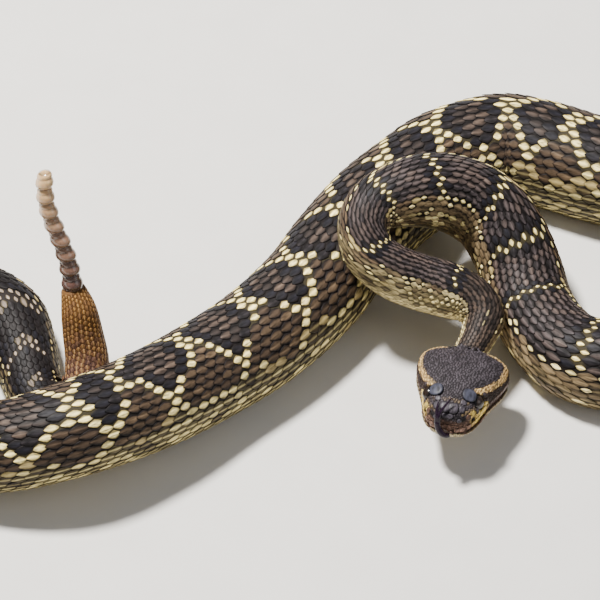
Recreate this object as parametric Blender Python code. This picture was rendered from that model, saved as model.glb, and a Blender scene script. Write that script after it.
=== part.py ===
"""Southern Pacific rattlesnake, a life-size museum model lying in a loose S with its head low,
its fore part coiled back over its own body and its tail and rattle raised behind it.

Metres, +Z up. The floor is z = 0, the snake faces -Y, and its tail rises at -X.
"""

import math

import bmesh
import bpy
import numpy as np
from mathutils import Matrix, Vector

MM = 0.001
GAP = 0.3 * MM  # clear distance between two nodes that meet

# Sets the middle of the whole model's box over the origin.
PLACE = np.array((-2.6, 1.0, 0.0))

# The route of the body's centre, from the nape to the root of the rattle, by named lengths.
# Each row is x, y, z of the centre and the width of the body there, in millimetres.
LENGTHS = {
    "neck": [
        (65.2, -41, 22, 14.0),
        (69.4, -32, 23.5, 15.2),
        (72, -22.5, 25.5, 18.2),
    ],
    "throat_bend": [
        (67.5, -15, 27.5, 21.2),
        (58, -11, 29.5, 24.0),
        (46, -9, 32.5, 24.4),
    ],
    "fore_coil_near": [
        (35, -8, 38.0, 23.8),
        (26, -4, 44.0, 22.6),
        (23, 4, 50.0, 22.4),
    ],
    "fore_coil_top": [
        (27, 13, 54.0, 24.0),
        (37, 20, 54.0, 28.5),
        (51, 27, 49.5, 32.8),
    ],
    "fore_arm": [
        (65, 30, 42.0, 34.8),
        (76, 27, 35.0, 35.6),
        (84, 18, 27.3, 35.8),
        (89, 8, 20.0, 35.8),
    ],
    "fore_sweep": [
        (93, -6, 14.6, 36.0),
        (99, -21, 14.4, 36.5),
        (108, -33, 15.0, 37.6),
    ],
    "right_loop_near": [
        (121, -39, 15.5, 38.8),
        (141, -39, 16.2, 40.4),
        (162, -27, 16.8, 42.0),
    ],
    "right_loop_far": [
        (174, -1, 17.3, 43.2),
        (174, 28, 17.8, 44.6),
        (161, 49, 18.3, 45.8),
    ],
    "shoulder": [
        (142, 61, 18.8, 46.9),
        (120, 70, 18.8, 47.1),
        (101, 78, 18.9, 47.3),
    ],
    "far_bend": [
        (85, 82, 18.9, 47.3),
        (72, 79, 18.9, 47.3),
        (58, 72, 18.9, 47.4),
    ],
    "mid_body_far": [
        (45, 60, 18.9, 47.3),
        (30, 44, 18.8, 47.1),
        (15, 22, 18.7, 46.7),
    ],
    "mid_body": [
        (1, -2, 18.5, 46.3),
        (-18, -25, 18.2, 45.4),
    ],
    "mid_body_near": [
        (-40, -45, 19.2, 44.2),
        (-67, -68, 24.5, 42.4),
        (-96, -85, 28.0, 40.2),
    ],
    "rear_body": [
        (-123, -88, 22.0, 38.4),
        (-147, -81, 15.4, 37.6),
    ],
    "left_loop_near": [
        (-166, -66, 14.8, 37.0),
        (-174, -44, 14.6, 36.6),
    ],
    "left_loop_far": [
        (-169, -20, 14.6, 36.6),
        (-155, -5, 14.2, 35.6),
        (-137, -3, 13.5, 33.8),
    ],
    "rear_sweep": [
        (-124, -12, 13.1, 32.8),
        (-117.5, -27, 12.0, 30.2),
    ],
    "tail_turn": [
        (-113.5, -41, 10.6, 26.6),
        (-109, -53, 9.2, 23.2),
        (-100, -57, 8.5, 21.2),
    ],
    "tail": [
        (-90.5, -49, 11.0, 19.8),
        (-89.7, -41, 19.0, 18.8),
        (-91.2, -35, 30.0, 17.2),
        (-92.7, -31, 40.5, 15.0),
        (-94.8, -27, 48.5, 10.6),
    ],
}
RATTLE_TIP = (-104.6, -9, 97)  # centre of the button, in millimetres

# The body's section, for a half width of one: a rounded back and a flat belly strip.
BACK_HEIGHT = 0.94
FLANK_DEPTH = 0.98
BELLY_DEPTH = 0.80
BODY_SIDES = 24
RING_PITCH = 0.2  # distance between rings, against the body's width there
FLOOR_REACH = 0.5 * MM  # belly points this near the floor are pressed flat on it

# The head, in millimetres, in its own frame: x to its right, y forward from the nape, z up.
HEAD_NOSE_DOWN = -4.0  # degrees
HEAD_FORWARD = (-0.24, -0.971)  # over the floor
HEAD_SIDES = 32
# Distance from the nape, half width, crown height, chin depth, height of the mouth's line.
HEAD_STATIONS = [
    (0.0, 7.2, 6.6, 6.0, -2.5),
    (0.9, 10.6, 6.2, 7.6, -2.9),
    (2.4, 14.0, 6.6, 9.2, -3.3),
    (5.0, 16.9, 7.6, 10.4, -3.8),
    (8.4, 18.7, 8.8, 10.9, -4.0),
    (12.0, 19.1, 9.7, 10.9, -4.0),
    (15.6, 18.5, 10.3, 10.6, -3.8),
    (19.2, 17.0, 10.6, 10.2, -3.5),
    (22.8, 15.2, 10.8, 9.7, -3.3),
    (26.4, 13.7, 10.7, 9.2, -3.2),
    (30.0, 12.6, 10.3, 8.7, -3.2),
    (33.2, 11.6, 9.6, 8.1, -3.2),
    (36.0, 10.4, 8.8, 7.5, -3.2),
    (38.2, 8.9, 7.9, 6.8, -3.1),
    (40.0, 6.9, 6.6, 6.0, -3.0),
    (41.0, 4.4, 5.2, 5.0, -2.9),
]
SNOUT_TIP = (0.0, 41.6, 0.6)
# How boxy a section is: 1 is an ellipse, and less is squarer.
HEAD_SIDE_POWER = 0.70
HEAD_CROWN_POWER = 0.62
HEAD_CHIN_POWER = 0.85
JAW_INSET = 0.10
LOBE_SWEEP = 2.6  # how far back the lobes behind the jaw sweep, beside the nape
LOBE_REACH = 17.0  # half width at which they do so in full
LOBE_ENDS = (10.0, 24.0)  # where the sweep starts to fade, and ends
MOUTH_CORNER = 10.0
LIP_FADE = 5.0  # length over which the lips' line fades in from its corner
LIP_DEPTH = 0.7
EYE_RADIUS = 3.2
EYE_CENTRE = (9.4, 29.2, 4.9)
BROW_SIZE = (3.0, 4.0, 1.3)
BROW_CENTRE = (6.6, 30.2, 9.6)
NASAL_SIZE = (2.5, 2.8, 0.9)
NASAL_CENTRE = (2.6, 37.4, 7.8)
ROSTRAL_SIZE = (2.8, 0.7, 3.0)
ROSTRAL_CENTRE = (0.0, 41.0, 1.4)
NOSTRIL_RADIUS = 0.9
NOSTRIL_CENTRE = (6.9, 39.8, 3.9)
PIT_RADIUS = 1.3
PIT_CENTRE = (10.4, 36.0, 1.6)

# The tongue, in the head's frame: the stem's route and radius.
TONGUE_STEM = [(-0.9, 42.4, -2.9), (0.3, 43.8, -2.0), (1.7, 43.9, -0.6), (2.8, 43.5, 1.2), (3.5, 42.9, 3.6)]
TONGUE_STEM_RADIUS = 1.4
# The tines' routes: the one on the snake's right curls straight back, the other slants over the snout.
TINE_ROUTES = (
    [(3.6, 42.8, 2.9), (3.9, 41.9, 6.3), (4.2, 40.6, 8.6), (4.4, 38.3, 10.8)],
    [(3.2, 42.8, 2.9), (3.2, 42.0, 6.3), (2.3, 40.5, 8.7), (0.8, 38.6, 10.8), (-0.9, 36.4, 12.7)],
)
TINE_RADII = (1.2, 0.9, 0.6, 0.45, 0.3)

# The rattle: loose horny segments, each broad at its root and narrower behind, and the button at the tip.
RATTLE_SEGMENTS = 8
RATTLE_WIDTHS = (8.8, 7.2)  # across, at the root and at the tip
RATTLE_DEPTH_RATIO = 1.2  # from back to belly, against the width
RATTLE_BOW = (1.4, 1.1)  # sideways, in millimetres: an S along it, then a plain bow
# Place along one segment and its breadth there, against the segment's full breadth.
SEGMENT_SHAPE = [(0.0, 0.70), (0.12, 0.95), (0.30, 1.0), (0.50, 0.95), (0.68, 0.84), (0.88, 0.80)]
ROOT_BREADTH = 0.94  # of the first ring, which closes on the tail
RATTLE_SIDES = 20

COLOURS = {
    "skin": ((0.055, 0.045, 0.045), 0.55),
    "tail": ((0.34, 0.20, 0.07), 0.55),
    "crown": ((0.085, 0.070, 0.080), 0.5),
    "eye": ((0.02, 0.015, 0.015), 0.1),
    "tongue": ((0.03, 0.015, 0.04), 0.2),
    "horn": ((0.30, 0.17, 0.10), 0.3),
}


def clear_scene():
    for obj in list(bpy.data.objects):
        bpy.data.objects.remove(obj, do_unlink=True)


def material(name):
    found = bpy.data.materials.get(name)
    if found:
        return found
    colour, roughness = COLOURS[name]
    made = bpy.data.materials.new(name)
    made.use_nodes = True
    shader = made.node_tree.nodes["Principled BSDF"]
    shader.inputs["Base Color"].default_value = (*colour, 1.0)
    shader.inputs["Roughness"].default_value = roughness
    return made


def add_object(name, mesh, finish):
    mesh.name = name
    mesh.materials.append(material(finish))
    mesh.shade_smooth()
    obj = bpy.data.objects.new(name, mesh)
    bpy.context.scene.collection.objects.link(obj)
    return obj


def smooth_route(points, before, steps=12):
    """A centripetal spline through the points, which leaves the first one away from `before`."""
    after = 2 * points[-1] - points[-2]
    framed = np.vstack([before, points, after])
    fine = []
    for p0, p1, p2, p3 in zip(framed, framed[1:], framed[2:], framed[3:]):
        knots = [0.0]
        for a, b in ((p0, p1), (p1, p2), (p2, p3)):
            knots.append(knots[-1] + math.sqrt(np.linalg.norm(b[:3] - a[:3])))
        t0, t1, t2, t3 = knots
        for step in range(steps):
            t = t1 + (t2 - t1) * step / steps
            a1 = (t1 - t) / (t1 - t0) * p0 + (t - t0) / (t1 - t0) * p1
            a2 = (t2 - t) / (t2 - t1) * p1 + (t - t1) / (t2 - t1) * p2
            a3 = (t3 - t) / (t3 - t2) * p2 + (t - t2) / (t3 - t2) * p3
            b1 = (t2 - t) / (t2 - t0) * a1 + (t - t0) / (t2 - t0) * a2
            b2 = (t3 - t) / (t3 - t1) * a2 + (t - t1) / (t3 - t1) * a3
            fine.append((t2 - t) / (t2 - t1) * b1 + (t - t1) / (t2 - t1) * b2)
    fine.append(points[-1])
    return np.array(fine)


def placed(row):
    """A row's point in the world, in metres."""
    return (np.array(row[:3]) + PLACE) * MM


class Course:
    """The body's centre line, its width, and the frame of a section at any distance along it."""

    def __init__(self):
        rows = np.array([row for length in LENGTHS.values() for row in length]) * MM
        rows[:, :3] += PLACE * MM
        forward = head_axes()[1]
        before = rows[0].copy()
        before[:3] += forward * np.linalg.norm(rows[1, :3] - rows[0, :3])
        self.fine = smooth_route(rows, before)
        steps = np.linalg.norm(np.diff(self.fine[:, :3], axis=0), axis=1)
        self.along = np.concatenate([[0.0], np.cumsum(steps)])
        self.length = self.along[-1]

    def at(self, distance):
        return np.array([np.interp(distance, self.along, column) for column in self.fine.T])

    def distance_of(self, row):
        """How far along the row's point lies."""
        offsets = np.linalg.norm(self.fine[:, :3] - placed(row), axis=1)
        return self.along[int(np.argmin(offsets))]

    def frame(self, distance):
        """Centre, half width, and the directions along, to the right and up to the back ridge."""
        reach = 1.5 * MM
        ahead = self.at(min(distance + reach, self.length))
        behind = self.at(max(distance - reach, 0.0))
        tangent = ahead[:3] - behind[:3] if distance > 0.0 else -head_axes()[1]
        tangent /= np.linalg.norm(tangent)
        up = np.array([0.0, 0.0, 1.0]) - tangent * tangent[2]
        up /= np.linalg.norm(up)
        here = self.at(distance)
        return here[:3], here[3] / 2, tangent, np.cross(tangent, up), up


def head_axes():
    """The head's right, forward and up directions in the world."""
    pitch = math.radians(HEAD_NOSE_DOWN)
    flat = np.array([*HEAD_FORWARD, 0.0])
    flat /= np.linalg.norm(flat)
    forward = flat * math.cos(pitch) - np.array([0.0, 0.0, math.sin(pitch)])
    right = np.cross(forward, (0.0, 0.0, 1.0))
    right /= np.linalg.norm(right)
    return right, forward, np.cross(right, forward)


def head_matrix():
    """From the head's frame, in metres, to the world."""
    right, forward, up = head_axes()
    nape = placed(LENGTHS["neck"][0])
    matrix = Matrix.Identity(4)
    for column, axis in enumerate((right, forward, up, nape)):
        for row in range(3):
            matrix[row][column] = axis[row]
    return matrix


def loft(rings, start_tip=None, end_tip=None):
    """A closed mesh through rings of equal count, closed by flat caps or by tips."""
    mesh = bmesh.new()
    loops = [[mesh.verts.new(point) for point in ring] for ring in rings]
    for first, second in zip(loops, loops[1:]):
        for i in range(len(first)):
            j = (i + 1) % len(first)
            mesh.faces.new((first[i], first[j], second[j], second[i]))
    for loop, tip in ((loops[0][::-1], start_tip), (loops[-1], end_tip)):
        if tip is None:
            mesh.faces.new(loop)
            continue
        point = mesh.verts.new(tip)
        for i, vert in enumerate(loop):
            mesh.faces.new((vert, loop[(i + 1) % len(loop)], point))
    bmesh.ops.recalc_face_normals(mesh, faces=mesh.faces[:])
    bmesh.ops.triangulate(mesh, faces=[face for face in mesh.faces if len(face.verts) == 4])
    made = bpy.data.meshes.new("loft")
    mesh.to_mesh(made)
    mesh.free()
    return made


def body_ring(course, distance, shift=0.0):
    """The section at a distance along the body, set forward by `shift` without being turned."""
    centre, half, tangent, side, up = course.frame(distance)
    centre = centre + tangent * shift
    angles = np.linspace(0.0, 2 * math.pi, BODY_SIDES, endpoint=False)
    across = np.sin(angles)
    height = np.cos(angles)
    height = np.where(height > 0, BACK_HEIGHT * height, np.maximum(FLANK_DEPTH * height, -BELLY_DEPTH))
    ring = centre + half * (across[:, None] * side + height[:, None] * up)
    ring[ring[:, 2] < FLOOR_REACH, 2] = 0.0
    return ring


def make_body_lengths(course):
    names = list(LENGTHS)
    ends = [course.distance_of(LENGTHS[name][0]) for name in names] + [course.length]
    for name, start, end in zip(names, ends, ends[1:]):
        pitch = RING_PITCH * course.at((start + end) / 2)[3]
        count = max(3, round((end - start) / pitch) + 1)
        rings = [body_ring(course, start, GAP if name == names[0] else GAP / 2)]
        rings += [body_ring(course, distance) for distance in np.linspace(start, end, count)[1:-1]]
        rings.append(body_ring(course, end, -GAP / 2))
        add_object(name, loft(rings), "tail" if name == "tail" else "skin")


def lobe_sweep(place, x):
    """How far back a point of the head is drawn, so that the lobes stand out beside the nape."""
    start, end = LOBE_ENDS
    fade = min(1.0, place / 2.4) * min(1.0, max(0.0, (end - place) / (end - start)))
    return LOBE_SWEEP * fade * (x / LOBE_REACH) ** 2


def head_ring(station):
    """One section of the head: a flat crown, full cheeks, and the mouth's line between the lips."""
    place, half, crown, chin, mouth = station
    lip = LIP_DEPTH * min(1.0, max(0.0, (place - MOUTH_CORNER) / LIP_FADE))
    angles = np.linspace(0.0, 2 * math.pi, HEAD_SIDES, endpoint=False)
    ring = []
    for angle in angles:
        across = math.sin(angle)
        rise = math.cos(angle)
        x = half * math.copysign(abs(across) ** HEAD_SIDE_POWER, across)
        if rise >= 0:
            z = mouth + (crown - mouth) * rise ** HEAD_CROWN_POWER
        else:
            z = mouth - (chin + mouth) * abs(rise) ** HEAD_CHIN_POWER
            x *= 1.0 - JAW_INSET * abs(rise)
        ring.append([x, place - lobe_sweep(place, x), z])
    for i in (HEAD_SIDES // 4, 3 * HEAD_SIDES // 4):
        ring[i][0] -= math.copysign(lip, ring[i][0])
    return np.array(ring) * MM


def ellipsoid(name, centre, size, sides=16, rings=8):
    """A closed ellipsoid in the head's frame, in millimetres."""
    mesh = bmesh.new()
    bmesh.ops.create_uvsphere(mesh, u_segments=sides, v_segments=rings, radius=1.0)
    bmesh.ops.scale(mesh, vec=Vector(size) * MM, verts=mesh.verts[:])
    bmesh.ops.translate(mesh, vec=Vector(centre) * MM, verts=mesh.verts[:])
    mesh.transform(head_matrix())
    made = bpy.data.meshes.new(name)
    mesh.to_mesh(made)
    mesh.free()
    return made


def mirrored(centre, side):
    return (centre[0] * side, centre[1], centre[2])


def combine(target, meshes, operation):
    """Joins the meshes to the target, or cuts them from it, and keeps the largest closed surface."""
    group = bpy.data.collections.new("pieces")
    bpy.context.scene.collection.children.link(group)
    for mesh in meshes:
        group.objects.link(bpy.data.objects.new(mesh.name, mesh))
    modifier = target.modifiers.new(operation.lower(), "BOOLEAN")
    modifier.operand_type = "COLLECTION"
    modifier.collection = group
    modifier.operation = operation
    modifier.solver = "EXACT"
    bpy.context.view_layer.update()
    graph = bpy.context.evaluated_depsgraph_get()
    joined = bpy.data.meshes.new_from_object(target.evaluated_get(graph))
    target.modifiers.clear()
    old = target.data
    target.data = joined
    bpy.data.meshes.remove(old)
    joined.name = target.name
    for obj in list(group.objects):
        bpy.data.objects.remove(obj, do_unlink=True)
    bpy.data.collections.remove(group)


def make_head():
    rings = [head_ring(station) for station in HEAD_STATIONS]
    mesh = loft(rings, end_tip=np.array(SNOUT_TIP) * MM)
    mesh.transform(head_matrix())
    head = add_object("head", mesh, "crown")
    plates = [ellipsoid("rostral", ROSTRAL_CENTRE, ROSTRAL_SIZE, 12, 6)]
    hollows = []
    for side in (1, -1):
        plates.append(ellipsoid("brow", mirrored(BROW_CENTRE, side), BROW_SIZE))
        plates.append(ellipsoid("nasal", mirrored(NASAL_CENTRE, side), NASAL_SIZE, 12, 6))
        socket = (EYE_RADIUS + GAP / MM,) * 3
        hollows.append(ellipsoid("socket", mirrored(EYE_CENTRE, side), socket, 20, 12))
        hollows.append(ellipsoid("nostril", mirrored(NOSTRIL_CENTRE, side), (NOSTRIL_RADIUS,) * 3, 8, 6))
        hollows.append(ellipsoid("pit", mirrored(PIT_CENTRE, side), (PIT_RADIUS,) * 3, 10, 6))
    combine(head, plates, "UNION")
    combine(head, hollows, "DIFFERENCE")


def make_eyes():
    for name, side in (("eye_right", 1), ("eye_left", -1)):
        size = (EYE_RADIUS,) * 3
        add_object(name, ellipsoid(name, mirrored(EYE_CENTRE, side), size, 20, 12), "eye")


def tube(route, radii, sides, finish_tip):
    """A round closed tube along a route in the head's frame, in millimetres."""
    route = np.array(route, float)
    rings = []
    for i, (point, radius) in enumerate(zip(route, radii)):
        tangent = route[min(i + 1, len(route) - 1)] - route[max(i - 1, 0)]
        tangent /= np.linalg.norm(tangent)
        side = np.array([1.0, 0.0, 0.0]) - tangent * tangent[0]
        side /= np.linalg.norm(side)
        up = np.cross(side, tangent)
        angles = np.linspace(0.0, 2 * math.pi, sides, endpoint=False)
        ring = [point + radius * (math.cos(a) * side + math.sin(a) * up) for a in angles]
        rings.append(np.array(ring) * MM)
    last = route[-1] + (route[-1] - route[-2]) * finish_tip
    mesh = loft(rings, end_tip=last * MM)
    mesh.transform(head_matrix())
    return mesh


def make_tongue():
    radii = [TONGUE_STEM_RADIUS] * (len(TONGUE_STEM) - 1) + [TONGUE_STEM_RADIUS * 0.8]
    stem = tube(TONGUE_STEM, radii, 10, 0.3)
    tongue = add_object("tongue", stem, "tongue")
    tines = []
    for route in TINE_ROUTES:
        radii = TINE_RADII[: len(route) - 1] + TINE_RADII[-1:]
        tines.append(tube(route, radii, 8, 0.4))
    combine(tongue, tines, "UNION")


def make_rattle(course):
    root, _, tangent, side, up = course.frame(course.length)
    tip = placed(RATTLE_TIP)
    root = root + tangent * GAP
    axis = tip - root
    reach = np.linalg.norm(axis)
    rings = []
    for segment in range(RATTLE_SEGMENTS):
        for place, breadth in SEGMENT_SHAPE:
            share = (segment + place) / RATTLE_SEGMENTS
            breadth = breadth if share else ROOT_BREADTH
            width = RATTLE_WIDTHS[0] + (RATTLE_WIDTHS[1] - RATTLE_WIDTHS[0]) * share
            half = width / 2 * breadth * MM
            turn = min(1.0, share * 3)
            along = tangent * (1 - turn) + axis / reach * turn
            along /= np.linalg.norm(along)
            back = up - along * np.dot(up, along)
            back /= np.linalg.norm(back)
            right = np.cross(along, back)
            swing = RATTLE_BOW[0] * math.sin(2 * math.pi * share) - RATTLE_BOW[1] * math.sin(math.pi * share)
            centre = root + axis * share + np.array([swing, 0.0, 0.0]) * MM
            angles = np.linspace(0.0, 2 * math.pi, RATTLE_SIDES, endpoint=False)
            ring = [
                centre + half * (math.sin(a) * right + RATTLE_DEPTH_RATIO * math.cos(a) * back)
                for a in angles
            ]
            rings.append(np.array(ring))
    add_object("rattle", loft(rings, end_tip=tip + axis / reach * 1.2 * MM), "horn")


def main():
    clear_scene()
    course = Course()
    make_body_lengths(course)
    make_head()
    make_eyes()
    make_tongue()
    make_rattle(course)


main()
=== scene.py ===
"""Looks of the life-size rattlesnake: one skin from snout to rattle, its keeled scales, the broad
scutes of the belly, the plates of the head, the eyes, the tongue and the horny rattle.

Metres, +Z up. The floor is z = 0, the snake faces -Y, and its tail rises at -X.
"""

import math

import bmesh
import bpy
import numpy as np
from mathutils import Matrix, Vector


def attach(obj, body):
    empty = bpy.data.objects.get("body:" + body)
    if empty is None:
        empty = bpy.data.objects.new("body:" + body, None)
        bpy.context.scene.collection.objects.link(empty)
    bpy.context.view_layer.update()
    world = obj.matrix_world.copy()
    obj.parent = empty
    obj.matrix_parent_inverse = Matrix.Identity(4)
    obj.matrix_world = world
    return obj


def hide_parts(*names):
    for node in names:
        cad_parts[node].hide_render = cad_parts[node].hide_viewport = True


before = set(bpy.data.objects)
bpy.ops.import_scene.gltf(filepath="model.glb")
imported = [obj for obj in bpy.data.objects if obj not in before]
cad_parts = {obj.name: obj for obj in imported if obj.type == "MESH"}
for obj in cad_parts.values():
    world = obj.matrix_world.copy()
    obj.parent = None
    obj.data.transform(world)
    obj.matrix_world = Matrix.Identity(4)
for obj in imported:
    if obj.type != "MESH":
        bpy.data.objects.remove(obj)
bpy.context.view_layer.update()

MM = 0.001
SEED = 27

# The solids' own place and sizes, as in the part's source.
PLACE = np.array((-2.6, 1.0, 0.0))

# The route of the body's centre from the nape to the root of the rattle, by named lengths.
# Each row is x, y, z of the centre and the width of the body there, in millimetres.
LENGTHS = {
    "neck": [(65.2, -41, 22, 14.0), (69.4, -32, 23.5, 15.2), (72, -22.5, 25.5, 18.2)],
    "throat_bend": [(67.5, -15, 27.5, 21.2), (58, -11, 29.5, 24.0), (46, -9, 32.5, 24.4)],
    "fore_coil_near": [(35, -8, 38.0, 23.8), (26, -4, 44.0, 22.6), (23, 4, 50.0, 22.4)],
    "fore_coil_top": [(27, 13, 54.0, 24.0), (37, 20, 54.0, 28.5), (51, 27, 49.5, 32.8)],
    "fore_arm": [(65, 30, 42.0, 34.8), (76, 27, 35.0, 35.6), (84, 18, 27.3, 35.8), (89, 8, 20.0, 35.8)],
    "fore_sweep": [(93, -6, 14.6, 36.0), (99, -21, 14.4, 36.5), (108, -33, 15.0, 37.6)],
    "right_loop_near": [(121, -39, 15.5, 38.8), (141, -39, 16.2, 40.4), (162, -27, 16.8, 42.0)],
    "right_loop_far": [(174, -1, 17.3, 43.2), (174, 28, 17.8, 44.6), (161, 49, 18.3, 45.8)],
    "shoulder": [(142, 61, 18.8, 46.9), (120, 70, 18.8, 47.1), (101, 78, 18.9, 47.3)],
    "far_bend": [(85, 82, 18.9, 47.3), (72, 79, 18.9, 47.3), (58, 72, 18.9, 47.4)],
    "mid_body_far": [(45, 60, 18.9, 47.3), (30, 44, 18.8, 47.1), (15, 22, 18.7, 46.7)],
    "mid_body": [(1, -2, 18.5, 46.3), (-18, -25, 18.2, 45.4)],
    "mid_body_near": [(-40, -45, 19.2, 44.2), (-67, -68, 24.5, 42.4), (-96, -85, 28.0, 40.2)],
    "rear_body": [(-123, -88, 22.0, 38.4), (-147, -81, 15.4, 37.6)],
    "left_loop_near": [(-166, -66, 14.8, 37.0), (-174, -44, 14.6, 36.6)],
    "left_loop_far": [(-169, -20, 14.6, 36.6), (-155, -5, 14.2, 35.6), (-137, -3, 13.5, 33.8)],
    "rear_sweep": [(-124, -12, 13.1, 32.8), (-117.5, -27, 12.0, 30.2)],
    "tail_turn": [(-113.5, -41, 10.6, 26.6), (-109, -53, 9.2, 23.2), (-100, -57, 8.5, 21.2)],
    "tail": [
        (-90.5, -49, 11.0, 19.8),
        (-89.7, -41, 19.0, 18.8),
        (-91.2, -35, 30.0, 17.2),
        (-92.7, -31, 40.5, 15.0),
        (-94.8, -27, 48.5, 10.6),
    ],
}
RATTLE_TIP = (-104.6, -9, 97)
RATTLE_BOW = (1.4, 1.1)  # sideways, in millimetres: an S along it, then a plain bow

# The body's section, for a half width of one: a rounded back and a flat belly strip.
BACK_HEIGHT = 0.94
FLANK_DEPTH = 0.98
BELLY_DEPTH = 0.80
FLOOR_REACH = 0.5 * MM  # points lower than this are pressed on to the floor
ROUTE_STEPS = 12  # of the spline, from one given point to the next
ROUTE_SAMPLES = 4000
SKIN_PITCH = 1.6 * MM  # distance between the skin's rings
SKIN_SIDES = 72
SKIN_CLEARANCE = 0.15 * MM  # least height of the skin over the floor
BODY_COAT_DEPTH = 0.85 * MM  # how far the skin lies inside the solids, under the scales
FULL_COAT_WIDTH = 30 * MM  # the coat is thinner where the body is narrower than this
LEAST_COAT_SHARE = 0.55
HEAD_COAT_DEPTH = 0.40 * MM

# The head, in millimetres, in its own frame: x to its right, y forward from the nape, z up.
HEAD_NOSE_DOWN = -4.0
HEAD_FORWARD = (-0.24, -0.971)
# Distance from the nape, half width, crown height, chin depth, height of the mouth's line.
HEAD_STATIONS = [
    (0.0, 7.2, 6.6, 6.0, -2.5),
    (0.9, 10.6, 6.2, 7.6, -2.9),
    (2.4, 14.0, 6.6, 9.2, -3.3),
    (5.0, 16.9, 7.6, 10.4, -3.8),
    (8.4, 18.7, 8.8, 10.9, -4.0),
    (12.0, 19.1, 9.7, 10.9, -4.0),
    (15.6, 18.5, 10.3, 10.6, -3.8),
    (19.2, 17.0, 10.6, 10.2, -3.5),
    (22.8, 15.2, 10.8, 9.7, -3.3),
    (26.4, 13.7, 10.7, 9.2, -3.2),
    (30.0, 12.6, 10.3, 8.7, -3.2),
    (33.2, 11.6, 9.6, 8.1, -3.2),
    (36.0, 10.4, 8.8, 7.5, -3.2),
    (38.2, 8.9, 7.9, 6.8, -3.1),
    (40.0, 6.9, 6.6, 6.0, -3.0),
    (41.0, 4.4, 5.2, 5.0, -2.9),
]
SNOUT_TIP = (0.0, 41.6, 0.6)
SNOUT_SHARES = (0.82, 0.62, 0.40, 0.18)  # breadths of the rings that round off the snout
HEAD_STEPS = 8
HEAD_SIDE_POWER = 0.70
HEAD_CROWN_POWER = 0.62
HEAD_CHIN_POWER = 0.85
JAW_INSET = 0.10
LOBE_SWEEP = 2.6
LOBE_REACH = 17.0
LOBE_ENDS = (10.0, 24.0)
LOBE_NAPE_FADE = 2.4
MOUTH_CORNER = 10.0
LIP_FADE = 5.0
LIP_DEPTH = 0.9
LIP_WIDTH = math.radians(4.5)
EYE_RADIUS = 3.2
EYE_CENTRE = (9.4, 29.2, 4.9)
NOSTRIL_CENTRE = (6.9, 39.8, 3.9)
NOSTRIL_RADIUS = 0.9
PIT_CENTRE = (10.4, 36.0, 1.6)
PIT_RADIUS = 1.3

# Scales of the body: rows on each stretch, from a distance in millimetres after the nape.
ROW_STRETCHES = [(0, 21), (24, 23), (44, 25), (70, 27), (905, 25), (925, 23), (938, 21), (950, 19)]
OUTER_ROW = 13  # the row beside the belly, on a count that is the same all along the body
ROW_REACH = math.radians(131)  # from the back ridge to the outermost row
PITCH_PER_WIDTH = 0.108  # a row's scale pitch, against the body's width
PITCH_BASE = 0.45  # and its constant part, in millimetres
SCALE_LENGTH_LAP = 1.46  # a scale's length against its pitch
SCALE_WIDTH_LAP = 1.20
SCALE_RISE = 0.17 * MM
SCALE_TILT = 0.05
ANGLE_JITTER = 0.012
PLACE_JITTER = 0.02  # against the pitch
LAST_SCALE_GAP = 0.8 * MM  # before the rattle's root
STRETCH_ENDS = (160 * MM, 330 * MM, 530 * MM, 730 * MM, 900 * MM)  # where one mesh of scales ends
PATCH = 0.003  # size of a scale's own patch on the unwrap
UNWRAP_EDGE = 0.02

# Distance after the nape of each pale crossing of the back, in millimetres.
PALE_BANDS = [
    -60, 39, 78, 101, 122, 149, 172, 204, 236, 270, 303, 336, 368, 400, 431, 459, 487,
    515, 549, 583, 616, 653, 686, 709, 742, 773, 803, 833, 864, 892, 914, 932, 951, 969, 987, 1020,
]
FORE_END = 290.0  # up to here the bands run straight across
STRAIGHT_EDGE_ROW = 4.6  # a blotch's outermost row there
# Row of the lateral corner of a blotch behind that, against the distance in millimetres.
CORNER_ROWS = [(440, 4.9), (620, 5.9)]
# How far the middle of the back is rolled to one side, in rows, against the distance in millimetres.
BACK_ROLL = [
    (0, 0.5), (40, 1.1), (120, 0.9), (171, 0.4), (230, 0.5), (431, 0.0), (487, 0.4), (600, 1.3),
    (650, 1.2), (684, 0.8), (709, -0.3), (760, -0.4), (850, 0.0),
]
FORE_FADE = (230.0, 300.0)
REAR_START = 800.0
REAR_FADE = 60.0  # before and after it
FAR_START = REAR_START + 25  # from here on the bands lean back, right across the body
FAR_LEAN = 0.45  # scales a row
TAIL_START = 950.0


def srgb(red, green, blue):
    """A linear colour from 8-bit values."""
    encoded = np.array((red, green, blue)) / 255.0
    return np.where(encoded <= 0.04045, encoded / 12.92, ((encoded + 0.055) / 1.055) ** 2.4)


CREAM = srgb(250, 230, 158)
THROAT = srgb(240, 220, 158)
THROAT_TAN = srgb(140, 120, 88)
OCHRE = srgb(180, 160, 100)
CHALK = srgb(146, 130, 118)
BLACK_EDGE = srgb(20, 19, 24)
BLOTCH = srgb(42, 36, 34)
BLOTCH_FLECK = srgb(78, 64, 54)
BETWEEN = srgb(56, 45, 36)
BETWEEN_FLECK = srgb(86, 70, 52)
BLUE_BLACK = srgb(27, 25, 30)
FLANK = srgb(46, 38, 30)
FORE_FLANK = srgb(76, 60, 48)
FLANK_EDGE = srgb(232, 214, 146)
BELLY = srgb(205, 188, 134)
BELLY_GREY = srgb(120, 104, 86)
TAIL_ORANGE = srgb(136, 95, 48)
TAIL_PURPLE = srgb(96, 70, 64)
TAIL_DOT = srgb(172, 140, 92)
CROWN = srgb(61, 56, 61)
CROWN_FLECK = srgb(44, 39, 43)
STRIPE = srgb(198, 162, 108)
CHEEK = srgb(50, 38, 34)
YELLOW = srgb(220, 190, 96)
LIP = srgb(122, 92, 78)
CHIN = srgb(206, 190, 148)
INTERSTICE = srgb(20, 16, 16)


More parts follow.
